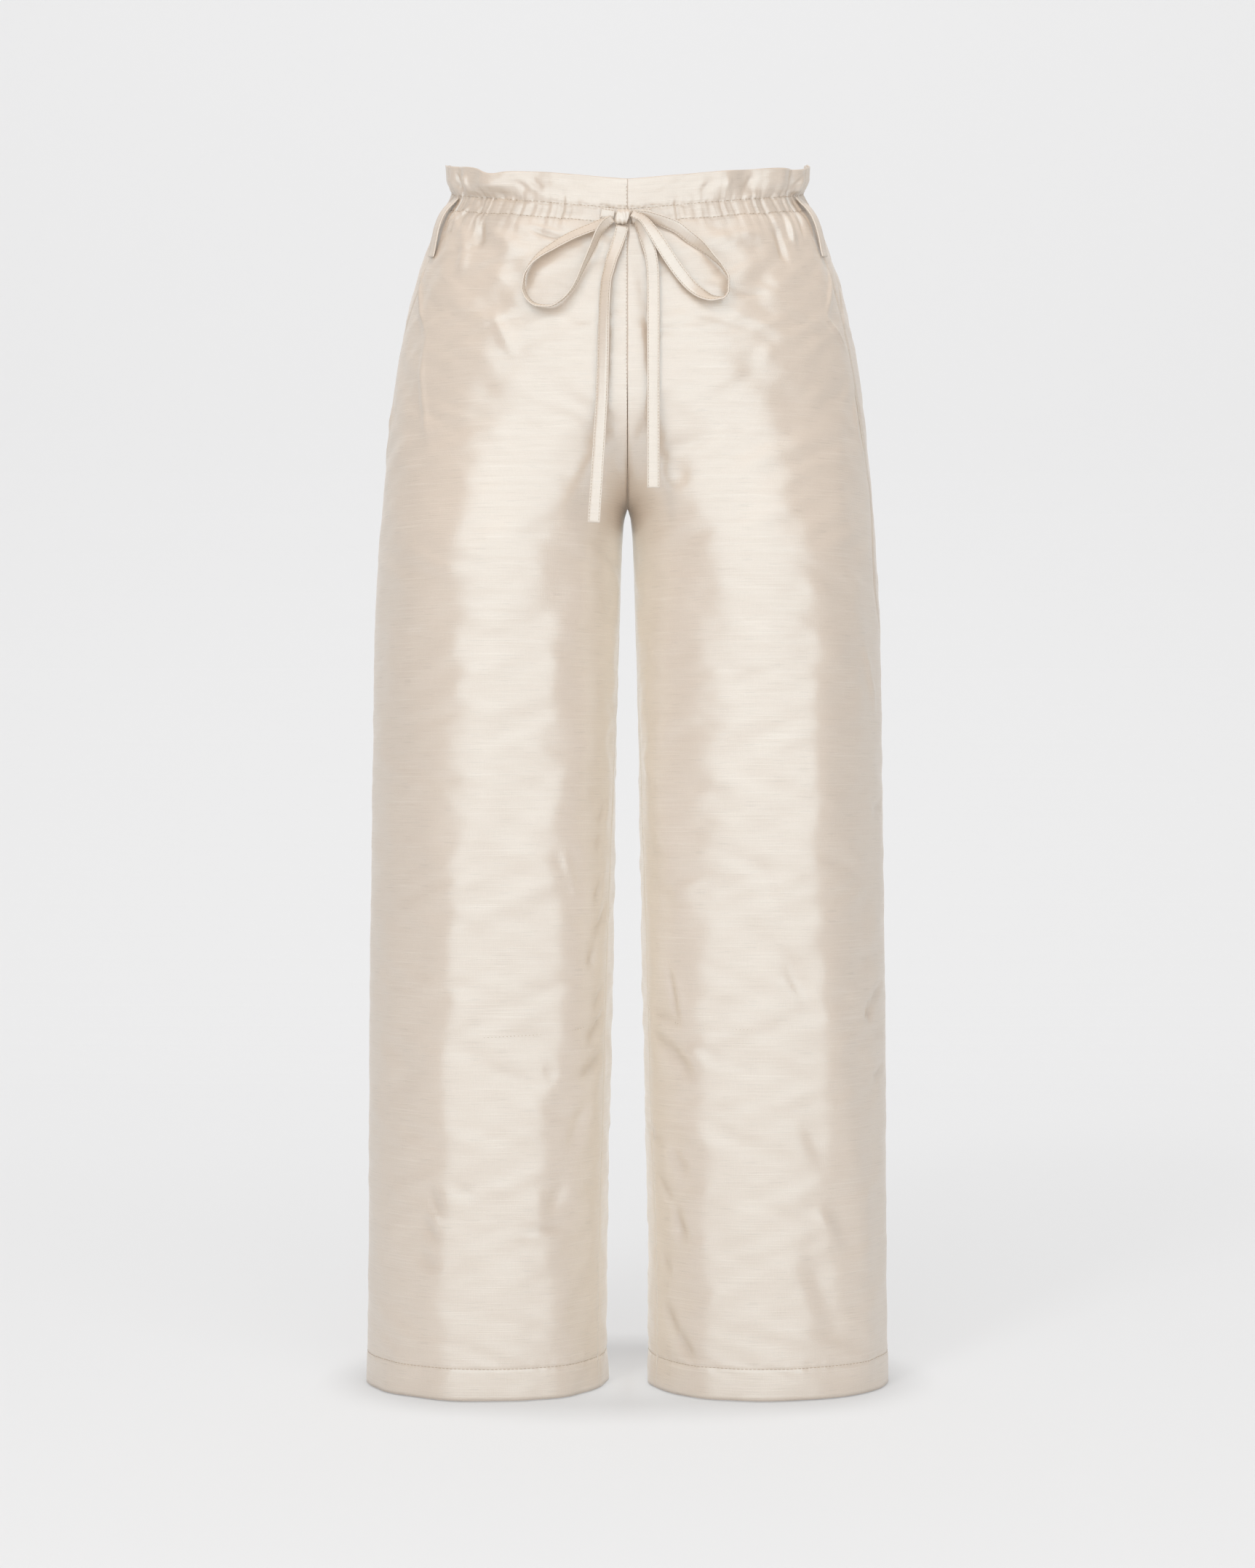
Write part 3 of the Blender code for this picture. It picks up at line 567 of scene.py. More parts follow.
def frill_lobes(t, v, side):
    """The frill's lobes: bells across their turn that bulge just above the stitching.

    Each rises from the stitched line over its own height and falls back a little at the top.
    """
    t = np.where(t > 2, t - 2, t)
    out = np.zeros_like(t)
    for lobe_side, middle, half_width, height, rise in FRILL_LOBES:
        if lobe_side == side:
            across = np.exp(-(((t - middle) / half_width) ** 2))
            back_in = 1 - 0.45 * smooth(v, 0.986, TOP_V)
            out += height * across * smooth(v, FRILL_V, FRILL_V + rise) * back_in
    return out


def on_line(t, v, ends, half_width):
    """A bell across the line between two ends, given as turns and heights, faded along it."""
    t0, v0, t1, v1 = ends
    du, dv = (t1 - t0) * TURN_LONG, v1 - v0
    u, w = (t - t0) * TURN_LONG, v - v0
    s = (u * du + w * dv) / (du * du + dv * dv)
    aside = (u * dv - w * du) / np.hypot(du, dv)
    return np.exp(-((aside / half_width) ** 2)) * smooth(s, -0.12, 0.4) * smooth(-s, -1.12, -0.6)


def base_cloth(t, v, side, lift=0.0):
    """A point of the cloth with its large folds only, or one lifted off it."""
    out = large_folds(t, v, side) + lift
    return (form(t, v) + outward(t, v) * out[..., None]) * np.array([side, 1, 1])


def photo_map(side):
    """Turns and heights over the front of one leg, with the photograph's pixel of each.

    A point's pixel comes from its place by the camera's own distance and height.
    """
    t, v = (a.ravel() for a in np.meshgrid(np.linspace(0, 1.1, 440), np.linspace(0, 1, 800)))
    x, y, z = base_cloth(t, v, side).T
    nearer = CAMERA_AWAY / (CAMERA_AWAY + y) / PIXEL
    column = PHOTO_SIZE[0] / 2 + x * nearer
    row = PHOTO_SIZE[1] / 2 - (z - CAMERA_Z) * nearer
    return t, v, column, row


PHOTO_MAPS = {side: photo_map(side) for side in (1, -1)}


def seen_at(column, row):
    """The side, turn and height of the cloth at a pixel of the photograph: the nearest one."""
    side = 1 if column > PHOTO_SIZE[0] / 2 else -1
    t, v, columns, rows = PHOTO_MAPS[side]
    nearest = np.argmin((columns - column) ** 2 + (rows - row) ** 2)
    return side, t[nearest], v[nearest]


CREASE_DEPTH = 2.7  # times the height in the tables
CREASE_STEEP = 0.65  # the most that a crease stands out, as a share of its half width


def crease_height(half_width, height):
    """A crease's height in metres, from millimetres: deepened, but no steeper than cloth lies."""
    steepest = CREASE_STEEP * half_width
    return np.clip(CREASE_DEPTH * height, -steepest, steepest) / 1000


def crease_lines():
    """All creases as side, ends, half width and height, in turns and metres."""
    rows = []
    for x0, y0, x1, y1, half_width, height in SEEN_CREASES:
        side, *start = seen_at(x0, y0)
        rows.append((side, *start, *seen_at(x1, y1)[1:], half_width, height))
    return [
        (side, tuple(ends), half_width / 1000, crease_height(half_width, height))
        for side, *ends, half_width, height in (*rows, *HIDDEN_CREASES)
    ]


CREASE_LINES = crease_lines()


def creases(t, v, side, widest=1.0):
    """How far the creases of one side up to a width stand out together, each as on_line says."""
    t = np.where(t > 2.05, t - 2, t)
    out = np.zeros_like(t)
    for crease_side, ends, half_width, height in CREASE_LINES:
        if crease_side == side and half_width < widest:
            out += height * on_line(t, v, ends, half_width)
    return out


def side_seam(v, side):
    """The side seam's turn at a height."""
    return along(v, SIDE_SEAM, 1 if side > 0 else 2)


def inside_leg_seam(v, side):
    """The inside leg seam's turn at a height. It comes to the front down the leg."""
    return INSEAM_TURN * smooth(-v, *INSEAM_START)


# The crumples, as slanting waves. Each row: size, slant, height.
CRUMPLES = (
    (0.062, 0.20, 0.00045),
    (0.047, -0.35, 0.00034),
    (0.033, 0.30, 0.00018),
    (0.021, -0.25, 0.00008),
)
INNER_PUCKERS = 0.00042
SIDE_PUCKERS = 0.00018


def crumple(t, v, side):
    """The faint uneven surface of washed silk: a sum of slanting waves of a few sizes.

    It dies out towards the inside leg and centre seams. Beside every seam it gives way to
    puckers: short slanting waves along the seam, which fade over a thumb's width.
    """
    u = t * TURN_LONG
    out = np.zeros_like(t)
    inner = inside_leg_seam(v, side)
    from_inner = np.minimum(np.abs(t - inner), np.abs(2 + inner - t)) * TURN_LONG
    from_side = np.abs(t - side_seam(v, side)) * TURN_LONG
    for size, slant, height in CRUMPLES:
        wave = 2 * np.pi / size
        along_u = u + 0.55 * size * np.sin(wave * 0.31 * v + 5 * side)
        along_u += 0.30 * size * np.sin(wave * 0.83 * v + 2 * side)
        out += height * np.sin(wave * along_u + wave * slant * v + 3 * side)
    out = out * smooth(from_inner, 0.0, 0.022) * (0.35 + 0.65 * smooth(from_side, 0.0, 0.045))
    sides = smooth(from_inner, 0.0, 0.006)
    pucker = np.sin(2 * np.pi * (v / 0.031 + 0.6 * np.sin(v * 37 + side)) + 60 * u)
    pucker = pucker + 0.6 * np.sin(2 * np.pi * v / 0.0173 - 90 * u + side)
    patchy = 0.55 + 0.45 * np.sin(23 * v + 2 * side) * np.sin(41 * v)
    out = out + INNER_PUCKERS * pucker * patchy * sides * np.exp(-from_inner / 0.016)
    pucker = np.sin(2 * np.pi * (v / 0.037 + 0.5 * np.sin(v * 29 - side)) - 50 * u)
    legs_only = smooth(-v, -0.93, -0.86)
    return out + SIDE_PUCKERS * pucker * patchy * legs_only * np.exp(-from_side / 0.018)


def satin_ridges(t, v, side):
    """The long soft ridges along the satin bands: a bell across the turn of each edge."""
    out = np.zeros_like(t)
    for (edge_side, _), edge in BAND_EDGES.items():
        if edge_side == side:
            away = (t - along(v, edge, 1)) * TURN_LONG / BAND_RIDGE_WIDE
            out += BAND_RIDGE * np.exp(-(away**2)) * smooth(-v, -0.70, -0.60)
    return out


def calf_line(t, side):
    """The height of the pick-stitched line across the calf at a turn."""
    line = CALF_LINES[side]
    return np.interp(t, line[:, 0], line[:, 1])


def hem_and_calf(t, v, side):
    """The grooves of the hem and calf stitching, puckers round the hem's, and its soft flare."""
    u = t * TURN_LONG
    groove = np.exp(-(((v - HEM_DEEP) / 0.0013) ** 2))
    puckers = np.sin(2 * np.pi * u / 0.0093) + 0.6 * np.sin(2 * np.pi * u / 0.0147 + 1)
    near = np.exp(-(((v - HEM_DEEP) / 0.0045) ** 2))
    flare = 0.0007 * smooth(-v, -HEM_DEEP - 0.004, -0.004)
    line = CALF_LINES[side]
    start, end = line[0, 0], line[-1, 0]
    on_calf = smooth(t, start - 0.02, start) * smooth(-t, -end - 0.03, -end)
    from_calf = v - calf_line(t, side)
    calf = -0.00035 * np.exp(-((from_calf / 0.0014) ** 2)) * on_calf
    step = 0.0003 * smooth(from_calf, 0.0, 0.003) * smooth(-from_calf, -0.03, 0) * on_calf
    return -0.00060 * groove + 0.00018 * puckers * near + flare + calf + step


def skin(t, v, side, lift=0.0):
    """A point of the finished cloth's outer face, or one lifted off it."""
    out = large_folds(t, v, side) + fine_gathers(t, v, side) + frill_lobes(t, v, side)
    out = out + creases(t, v, side)
    out = out + crumple(t, v, side) + satin_ridges(t, v, side) + hem_and_calf(t, v, side) + lift
    points = (form(t, v) + outward(t, v) * out[..., None]) * np.array([side, 1, 1])
    points[..., 2] += edge_drop(t, v, side)
    return points


KNOT_SHADE = 0.80  # shares of the dark thread's colour, in the weave's knots
# Painted shade: how dark the bottoms of folds are painted, as shares of the dark thread's colour.
PAINTED_FOLD_SHADE = (0.86, 0.80, 0.74)  # and at the bottoms of folds
SATIN_IOR = 3.0
SATIN_TINT = (0.74, 0.93, 1.0, 1)
SATIN_ROUGHNESS = (0.34, 0.39)
BUMP_HIGH = 0.00012


def weave_material(name, base, light, dark, slub_share):
    """Raw silk. The piece's own map is in metres, across and up, so the threads have real sizes.

    Upright warp and crosswise weft are two stretched noises. Slubs are rare long bright
    streaks of the weft. All three tint the colour and raise the bump, over a fine grain. Each
    point's number for the depth of its fold, if it has one, paints shade into the base colour
    at the bottoms of folds.
    """
    material = bpy.data.materials.new(name)
    material.use_nodes = True
    nodes, links = material.node_tree.nodes, material.node_tree.links
    shader = nodes["Principled BSDF"]
    place = nodes.new("ShaderNodeUVMap")

    def threads(across, up, detail, low, high):
        """A noise of so many waves a metre across and up, spread from low to high."""
        stretch = nodes.new("ShaderNodeMapping")
        stretch.inputs["Scale"].default_value = (across, up, 1)
        links.new(place.outputs["UV"], stretch.inputs["Vector"])
        noise = nodes.new("ShaderNodeTexNoise")
        noise.noise_dimensions = "2D"
        noise.inputs["Scale"].default_value = 1
        noise.inputs["Detail"].default_value = detail
        links.new(stretch.outputs["Vector"], noise.inputs["Vector"])
        band = nodes.new("ShaderNodeMapRange")
        band.inputs["From Min"].default_value = low
        band.inputs["From Max"].default_value = high
        links.new(noise.outputs["Fac"], band.inputs["Value"])
        return band.outputs["Result"]

    def tinted(colour, share, by, amount):
        """The colour mixed with another by a share of so much at most."""
        mix = nodes.new("ShaderNodeMix")
        mix.data_type = "RGBA"
        weight = nodes.new("ShaderNodeMath")
        weight.operation = "MULTIPLY"
        weight.inputs[1].default_value = amount
        links.new(share, weight.inputs[0])
        links.new(weight.outputs[0], mix.inputs["Factor"])
        if isinstance(colour, tuple):
            mix.inputs["A"].default_value = (*colour, 1)
        else:
            links.new(colour, mix.inputs["A"])
        mix.inputs["B"].default_value = (*by, 1)
        return mix.outputs["Result"]

    def heavier(first, second, amount):
        """The first height with so much of the second on top."""
        add = nodes.new("ShaderNodeMath")
        add.operation = "MULTIPLY_ADD"
        add.inputs[1].default_value = amount
        links.new(second, add.inputs[0])
        links.new(first, add.inputs[2])
        return add.outputs[0]

    warp = threads(1900, 90, 1, 0.30, 0.70)
    weft = threads(26, 1500, 1, 0.30, 0.70)
    slub = threads(15, 1150, 0, slub_share, slub_share + 0.06)
    knot = threads(55, 1000, 0, 0.750, 0.790)
    shade = threads(9, 260, 2, 0.35, 0.65)
    grain = threads(750, 1000, 1, 0.32, 0.68)
    cloudy = threads(14, 9, 2, 0.3, 0.7)
    colour = tinted(base, weft, light, 0.20)
    colour = tinted(colour, warp, dark, 0.16)
    colour = tinted(colour, grain, dark, 0.22)
    colour = tinted(colour, shade, dark, 0.07)
    colour = tinted(colour, cloudy, dark, 0.15)
    colour = tinted(colour, slub, light, 0.30)
    colour = tinted(colour, knot, tuple(KNOT_SHADE * c for c in dark), 0.24)
    # Painted shade: the bottoms of folds and gathers darkened in the base colour by how deep each
    # point lies in its fold.
    painted_fold_shade = nodes.new("ShaderNodeAttribute")
    painted_fold_shade.attribute_name = "painted_fold_shade"
    painted_shade_colour = tuple(share * c for share, c in zip(PAINTED_FOLD_SHADE, dark))
    colour = tinted(colour, painted_fold_shade.outputs["Fac"], painted_shade_colour, 0.46)
    links.new(colour, shader.inputs["Base Color"])
    shader.inputs["IOR"].default_value = SATIN_IOR
    shader.inputs["Specular Tint"].default_value = SATIN_TINT
    shader.inputs["Anisotropic"].default_value = 0.85
    shader.inputs["Anisotropic Rotation"].default_value = 0.25
    lie = nodes.new("ShaderNodeTangent")
    lie.direction_type = "UV_MAP"
    lie.uv_map = "place"
    links.new(lie.outputs["Tangent"], shader.inputs["Tangent"])
    shader.inputs["Sheen Weight"].default_value = 0.06
    shader.inputs["Sheen Roughness"].default_value = 0.4
    shader.inputs["Sheen Tint"].default_value = (1.0, 0.97, 0.92, 1)
    gloss = nodes.new("ShaderNodeMapRange")
    gloss.inputs["To Min"].default_value = SATIN_ROUGHNESS[0]
    gloss.inputs["To Max"].default_value = SATIN_ROUGHNESS[1]
    links.new(shade, gloss.inputs["Value"])
    links.new(gloss.outputs["Result"], shader.inputs["Roughness"])
    raised = heavier(weft, warp, 0.7)
    raised = heavier(raised, slub, 1.0)
    bump = nodes.new("ShaderNodeBump")
    bump.inputs["Strength"].default_value = 0.30
    bump.inputs["Distance"].default_value = BUMP_HIGH
    links.new(raised, bump.inputs["Height"])
    links.new(bump.outputs["Normal"], shader.inputs["Normal"])
    return material


IVORY = (0.735, 0.588, 0.470)
IVORY_LIGHT = (0.830, 0.695, 0.582)
IVORY_DARK = (0.640, 0.496, 0.383)
silk = weave_material("silk", IVORY, IVORY_LIGHT, IVORY_DARK, 0.70)


def finished(mesh, material):
    """The mesh as a smooth piece of one material that rides on the trousers' one body."""
    mesh.polygons.foreach_set("use_smooth", np.ones(len(mesh.polygons), bool))
    mesh.materials.append(material)
    piece = bpy.data.objects.new(mesh.name, mesh)
    stage.collection.objects.link(piece)
    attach(piece, "root")
    return piece


def grid_piece(name, points, place, thickness):
    """A smooth sheet of silk through a grid of points, given its thickness inwards.

    points is rows by columns by 3, and place, its own map, is rows by columns by 2, in metres.
    """
    rows, columns = points.shape[:2]
    number = np.arange(rows * columns).reshape(rows, columns)
    left, right = number[:, :-1], number[:, 1:]
    faces = np.stack([left[:-1], right[:-1], right[1:], left[1:]], -1).reshape(-1, 4)
    mesh = bpy.data.meshes.new(name)
    mesh.vertices.add(rows * columns)
    mesh.vertices.foreach_set("co", points.astype(np.float32).ravel())
    mesh.loops.add(faces.size)
    mesh.loops.foreach_set("vertex_index", faces.astype(np.int32).ravel())
    mesh.polygons.add(len(faces))
    mesh.polygons.foreach_set("loop_start", np.arange(0, faces.size, 4, dtype=np.int32))
    mesh.update(calc_edges=True)
    mesh.uv_layers.new(name="place")
    flat = place.reshape(-1, 2)[faces.ravel()]
    mesh.uv_layers["place"].data.foreach_set("uv", flat.astype(np.float32).ravel())
    piece = finished(mesh, silk)
    wall = piece.modifiers.new("wall", "SOLIDIFY")
    wall.thickness = thickness
    wall.offset = -1
    return piece


def cloth_piece(name, t, v, side, lift, clear, shift, thickness=CLOTH, closing=0):
    """A piece over a grid of turns and heights: the skin moved out by lift, or in.

    It moves towards the middle by closing, but stays as far from it as clear says. Its map
    is shifted, so that no two pieces have the same threads. The wearer's right one runs the
    other way round.
    """
    v = np.broadcast_to(v, t.shape)
    points = skin(t, v, side, lift)
    points[..., 0] = side * np.maximum(side * points[..., 0] - closing, clear)
    place = np.stack([t * TURN_LONG + shift * (2 + side), v], -1)
    if side < 0:
        points, place = points[:, ::-1], place[:, ::-1]
    return grid_piece(name, points, place, thickness)


def up_mouth(v):
    """How far up the pocket's mouth a height is: 0 at its bottom and below, 1 at its top."""
    low, high = MOUTH_V
    return np.clip((v - low) / (high - low), 0, 1)


def seam_turns(v, back, side):
    """The turns of a panel's two edges. A front's mouth opens by a half wave of its side seam."""
    inseam = inside_leg_seam(v, side)
    if back:
        return side_seam(v, side), 2.0 + inseam
    return inseam, side_seam(v, side) - MOUTH_OPEN * np.sin(np.pi * up_mouth(v))


PANEL_COLUMNS = {False: 160, True: 150}  # front and back
PANEL_ROWS = {False: (184, 40), True: (150, 32)}  # up the leg and round the hips
SIDE_ROLL = (0.0008, 0.0022)  # how far the side edge rolls in, and over what width
MIDDLE_ROLL = (0.0003, 0.0013)
MOUTH_LIP = (0.0016, 0.0055)
LEFT_ROLL = 0.0010  # how much more the side seam on the wearer's left rolls in at the hip
CENTRE_CLOSING = 0.0001
# Painted shade: how deep a fold must be for its bottom to be painted fully dark, and how narrow a
# crease must be to be painted at all.
PAINTED_SHADE_DEPTH = 0.0034  # depth of a fold whose bottom is fully dark
PAINTED_SHADE_WIDEST = 0.0056  # half width from which a crease isn't darkened


def panel(name, side, back):
    """One panel. Its rows are closest at the hem and waist, its columns closest at the seams.

    Its edges roll in by a bell of the distance to the seam, as a pressed-open seam does, and
    the pocket's mouth has a lip in a half wave. Each point's number is the depth of its fold,
    which paints shade into the bottoms of folds.
    """
    columns = PANEL_COLUMNS[back]
    leg_rows, hip_rows = PANEL_ROWS[back]
    v = np.concatenate(
        [
            np.linspace(0, 0.020, 7),
            np.linspace(0.0218, 0.029, 9),
            np.linspace(0.0320, 0.860, leg_rows),
            np.linspace(0.863, 0.940, hip_rows),
            np.linspace(0.9412, TOP_V, 50),
        ]
    )
    low, high = seam_turns(v, back, side)
    s = np.linspace(0, 1, columns + 1)
    s = s - 0.5 * np.sin(2 * np.pi * s) / (2 * np.pi)
    t = low[:, None] + (high - low)[:, None] * s
    v = np.broadcast_to(v[:, None], t.shape)
    to_side, to_middle = (high[:, None] - t, t - low[:, None])[:: -1 if back else 1]
    pressed = SIDE_ROLL[0]
    if side > 0:
        pressed = pressed + LEFT_ROLL * smooth(v, 0.57, 0.62) * smooth(-v, -0.745, -0.72)
    roll = -pressed * np.exp(-((to_side * TURN_LONG / SIDE_ROLL[1]) ** 2))
    roll = roll - MIDDLE_ROLL[0] * np.exp(-((to_middle * TURN_LONG / MIDDLE_ROLL[1]) ** 2))
    if not back:
        share = up_mouth(v)
        near_mouth = np.exp(-((to_side * TURN_LONG / MOUTH_LIP[1]) ** 2)) * np.sin(np.pi * share)
        roll = roll + MOUTH_LIP[0] * near_mouth * (1 + 0.4 * np.sin(4.4 * np.pi * share))
    closing = CENTRE_CLOSING * np.exp(-((to_middle * TURN_LONG / 0.002) ** 2)) * (v > CROTCH_V)
    piece = cloth_piece(
        name + "_silk", t, v, side, roll, 0.00001, 3.1 if back else 0.7, closing=closing
    )
    # Each point's fold depth, for the painted shade that darkens the bottoms of creases and
    # gathers.
    deep = -(creases(t, v, side, PAINTED_SHADE_WIDEST) + 0.8 * fine_gathers(t, v, side)) / PAINTED_SHADE_DEPTH
    deep = np.clip(deep, 0, 1)[:, ::side]
    piece.data.attributes.new("painted_fold_shade", "FLOAT", "POINT")
    piece.data.attributes["painted_fold_shade"].data.foreach_set("value", deep.astype(np.float32).ravel())
    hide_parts(name)
    return piece


for word, side in SIDE_TURNS.items():
    for back in (False, True):
        panel(("back_" if back else "front_") + word, side, back)


# The hems and the frill are doubled: the panel's own edge is turned inside and stitched down.
# These strips are that inner layer, and each hangs just inside its panel.
FOLD_GAP = 0.0004
HEM_TURNED = (0.0006, HEM_DEEP + 0.0022)
FRILL_TURNED = (CASING_V - 0.004, TOP_V - 0.0008)


def turned_edge(name, side, back, low_v, high_v):
    """The turned-in layer of one panel between two heights: the panel's skin, moved inwards."""
    v = np.linspace(low_v, high_v, 16)
    low, high = seam_turns(v, back, side)
    t = low[:, None] + (high - low)[:, None] * np.linspace(0.004, 0.996, 100)
    return cloth_piece(name, t, v[:, None], side, -CLOTH - FOLD_GAP, 0.0012, 5.3)


SEAM_ALLOWANCE = 0.012


def seam_allowance(name, side, seam, low_v, high_v):
    """The two raw edges pressed open behind a seam: a narrow strip just inside the skin.

    seam gives the seam's turn at a height, and the strip reaches as far to either side.
    """
    v = np.linspace(low_v, high_v, 220)[:, None]
    across = np.linspace(-1, 1, 9)
    t = seam(v, side) + across * SEAM_ALLOWANCE / TURN_LONG
    lift = -CLOTH - 0.0008 - 0.0006 * (1 - np.abs(across))
    return cloth_piece(name, t, v, side, lift, 0.00002, 13.7, CLOTH / 2)


def front_seam(v, side):
    """Half of the centre front seam's allowance, just beside the middle."""
    return np.full_like(v, SEAM_ALLOWANCE / TURN_LONG)


def back_seam(v, side):
    """Half of the centre back seam's allowance, just beside the middle."""
    return np.full_like(v, 2 - SEAM_ALLOWANCE / TURN_LONG)


SEAMS = {
    "side": (side_seam, 0.004, 0.735),
    "hip": (side_seam, 0.850, TOP_V - 0.002),
    "inside_leg": (inside_leg_seam, 0.004, CROTCH_V - 0.004),
    "front": (front_seam, CROTCH_V + 0.004, TOP_V - 0.002),
    "back": (back_seam, CROTCH_V + 0.004, TOP_V - 0.002),
}

for word, side in SIDE_TURNS.items():
    allowances = [
        seam_allowance(seam_name + "_allowance_" + word, side, *seam)
        for seam_name, seam in SEAMS.items()
    ]
    for back in (False, True):
        of_panel = ("back_" if back else "front_") + word
        hem = turned_edge(of_panel + "_hem", side, back, *HEM_TURNED)
        heading = turned_edge(of_panel + "_heading", side, back, *FRILL_TURNED)


# The pockets' facings are strips of the same silk behind the mouths, which lie in the side
# seams at the hips. Only the wearer's left one shows, in the slightly open mouth.
POCKET_WIDE = 0.10  # as a turn
POCKET_IN = 0.0014
POCKET_V = (0.740, 0.846)

for word, side in SIDE_TURNS.items():
    v = np.linspace(*POCKET_V, 60)[:, None]
    across = np.linspace(-POCKET_WIDE / 2, POCKET_WIDE / 2, 24)
    t = side_seam(v, side) - MOUTH_OPEN / 2 + across
    facing = cloth_piece("pocket_facing_" + word, t, v, side, -POCKET_IN, 0, 9.1)
    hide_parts("pocket_" + word)


# The tie and the belt loops are narrow strips of the silk, folded double, pressed flat and
# stitched close to both edges.
trim = weave_material("silk_trim", (0.745, 0.601, 0.482), IVORY_LIGHT, IVORY_DARK, 0.72)

# A strip's section, a quarter of it: share of the half width, share of the half thickness.
# The dip is the groove of the edge stitching.
STRIP_SECTION = np.array((
    (1.000, 0.00),
    (0.985, 0.60),
    (0.930, 0.96),
    (0.850, 1.00),
    (0.780, 0.72),
    (0.710, 1.00),
    (0.350, 1.06),
))


def run_along(points):
    """How far along its line each point lies: the sum of the steps before it."""
    return np.concatenate([[0], np.cumsum(np.linalg.norm(np.diff(points, axis=0), axis=1))])


def strip_piece(name, centres, wide, thick):
    """A strip: its section carried along the centres.

    wide and thick are arrows of the half width and the half thickness at each centre. The
    section runs once round, from one edge over the face to the other edge and back under.
    """
    s, d = STRIP_SECTION.T
    across = np.concatenate([s, [0], -s[:0:-1], -s, [0], s[:0:-1]])
    up = np.concatenate([d, [1.08], d[:0:-1], -d, [-1.08], -d[:0:-1]])
    points = centres[:, None] + wide[:, None] * across[:, None] + thick[:, None] * up[:, None]
    half = np.linalg.norm(wide, axis=1).max()
    ring = np.stack([across * half, up * 0.0006], -1)
    round_it = np.linalg.norm(np.diff(ring, axis=0, append=ring[:1]), axis=1)
    u = np.concatenate([[0], np.cumsum(round_it)])
    travelled = run_along(centres)
    place = np.stack(np.broadcast_arrays(u[None], travelled[:, None]), -1)
    return tube_piece(name, points, place)


def tube_piece(name, points, place):
    """A closed tube of the trim through rings of points, with a flat cap at each end.

    points is rings by points by 3. place has one more column, for the map at the join.
    """
    rings, count = points.shape[:2]
    number = np.arange(rings * count).reshape(rings, count)
    right = np.roll(number, -1, axis=1)
    faces = np.stack([number[:-1], number[1:], right[1:], right[:-1]], -1).reshape(-1, 4)
    caps = [tuple(number[0].tolist()), tuple(number[-1, ::-1].tolist())]
    mesh = bpy.data.meshes.new(name)
    mesh.from_pydata(points.reshape(-1, 3).tolist(), [], faces.tolist() + caps)
    left_place, right_place = place[:, :-1], place[:, 1:]
    corners = (left_place[:-1], left_place[1:], right_place[1:], right_place[:-1])
    flat = np.stack(corners, -2).reshape(-1, 2)
    ends = np.concatenate([left_place[0], left_place[-1, ::-1]])
    mesh.uv_layers.new(name="place")
    layer = mesh.uv_layers["place"].data
    layer.foreach_set("uv", np.concatenate([flat, ends]).astype(np.float32).ravel())
    mesh.validate()
    return finished(mesh, trim)


def unit(arrows):
    """The arrows, each brought to a length of one."""
    return arrows / np.linalg.norm(arrows, axis=-1, keepdims=True)


# A belt loop hangs at each side seam. It is sewn down above the casing and below the gathers,
# and bows a little off the cloth between.
LOOP_T = 0.77
LOOP_WIDE = 0.0095
LOOP_THICK = 0.0014
# Height, how far it stands off the gathers.
BELT_LOOP = np.array((
    (0.9250, 0.0002),
    (0.9300, 0.0008),
    (0.9390, 0.0024),
    (0.9500, 0.0034),
    (0.9620, 0.0032),
    (0.9700, 0.0018),
    (0.9748, 0.0002),
))

for word, side in SIDE_TURNS.items():
    v = np.linspace(BELT_LOOP[-1, 0], BELT_LOOP[0, 0], 49)
    t = np.full_like(v, LOOP_T)
    beside = LOOP_T + np.linspace(-0.03, 0.03, 13)
    around = np.broadcast_arrays(beside[None], v[:, None])
    ridge = large_folds(*around, side).max(axis=1)
    lift = ridge - large_folds(t, v, side) + 0.0003 + LOOP_THICK / 2 + along(v, BELT_LOOP, 1)
    centres = base_cloth(t, v, side, lift)
    forward = unit(np.gradient(centres, axis=0))
    out = outward(t, v) * np.array([side, 1, 1])
    wide = unit(np.cross(forward, out))
    thick = np.cross(wide, forward)
    half = (wide * LOOP_WIDE / 2, thick * LOOP_THICK / 2)
    belt_loop = strip_piece("belt_loop_strip_" + word, centres, *half)
    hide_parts("belt_loop_" + word)


# The tie is one long flat strip that runs through the casing and comes out at two slots in
# front. It is tied in a bow: two leads, the knot, two loops and two tails with free ends.
TIE_WIDE = 0.010
TIE_THICK = 0.0012
RIDGE = 0.0016
HANG_V = 0.80  # below this the tails hang straight down
KNOT_SIZE = (0.0113, 0.0086, 0.0118)
KNOT_X = -0.0040
KNOT_H = 0.9376
KNOT_OFF = 0.0014

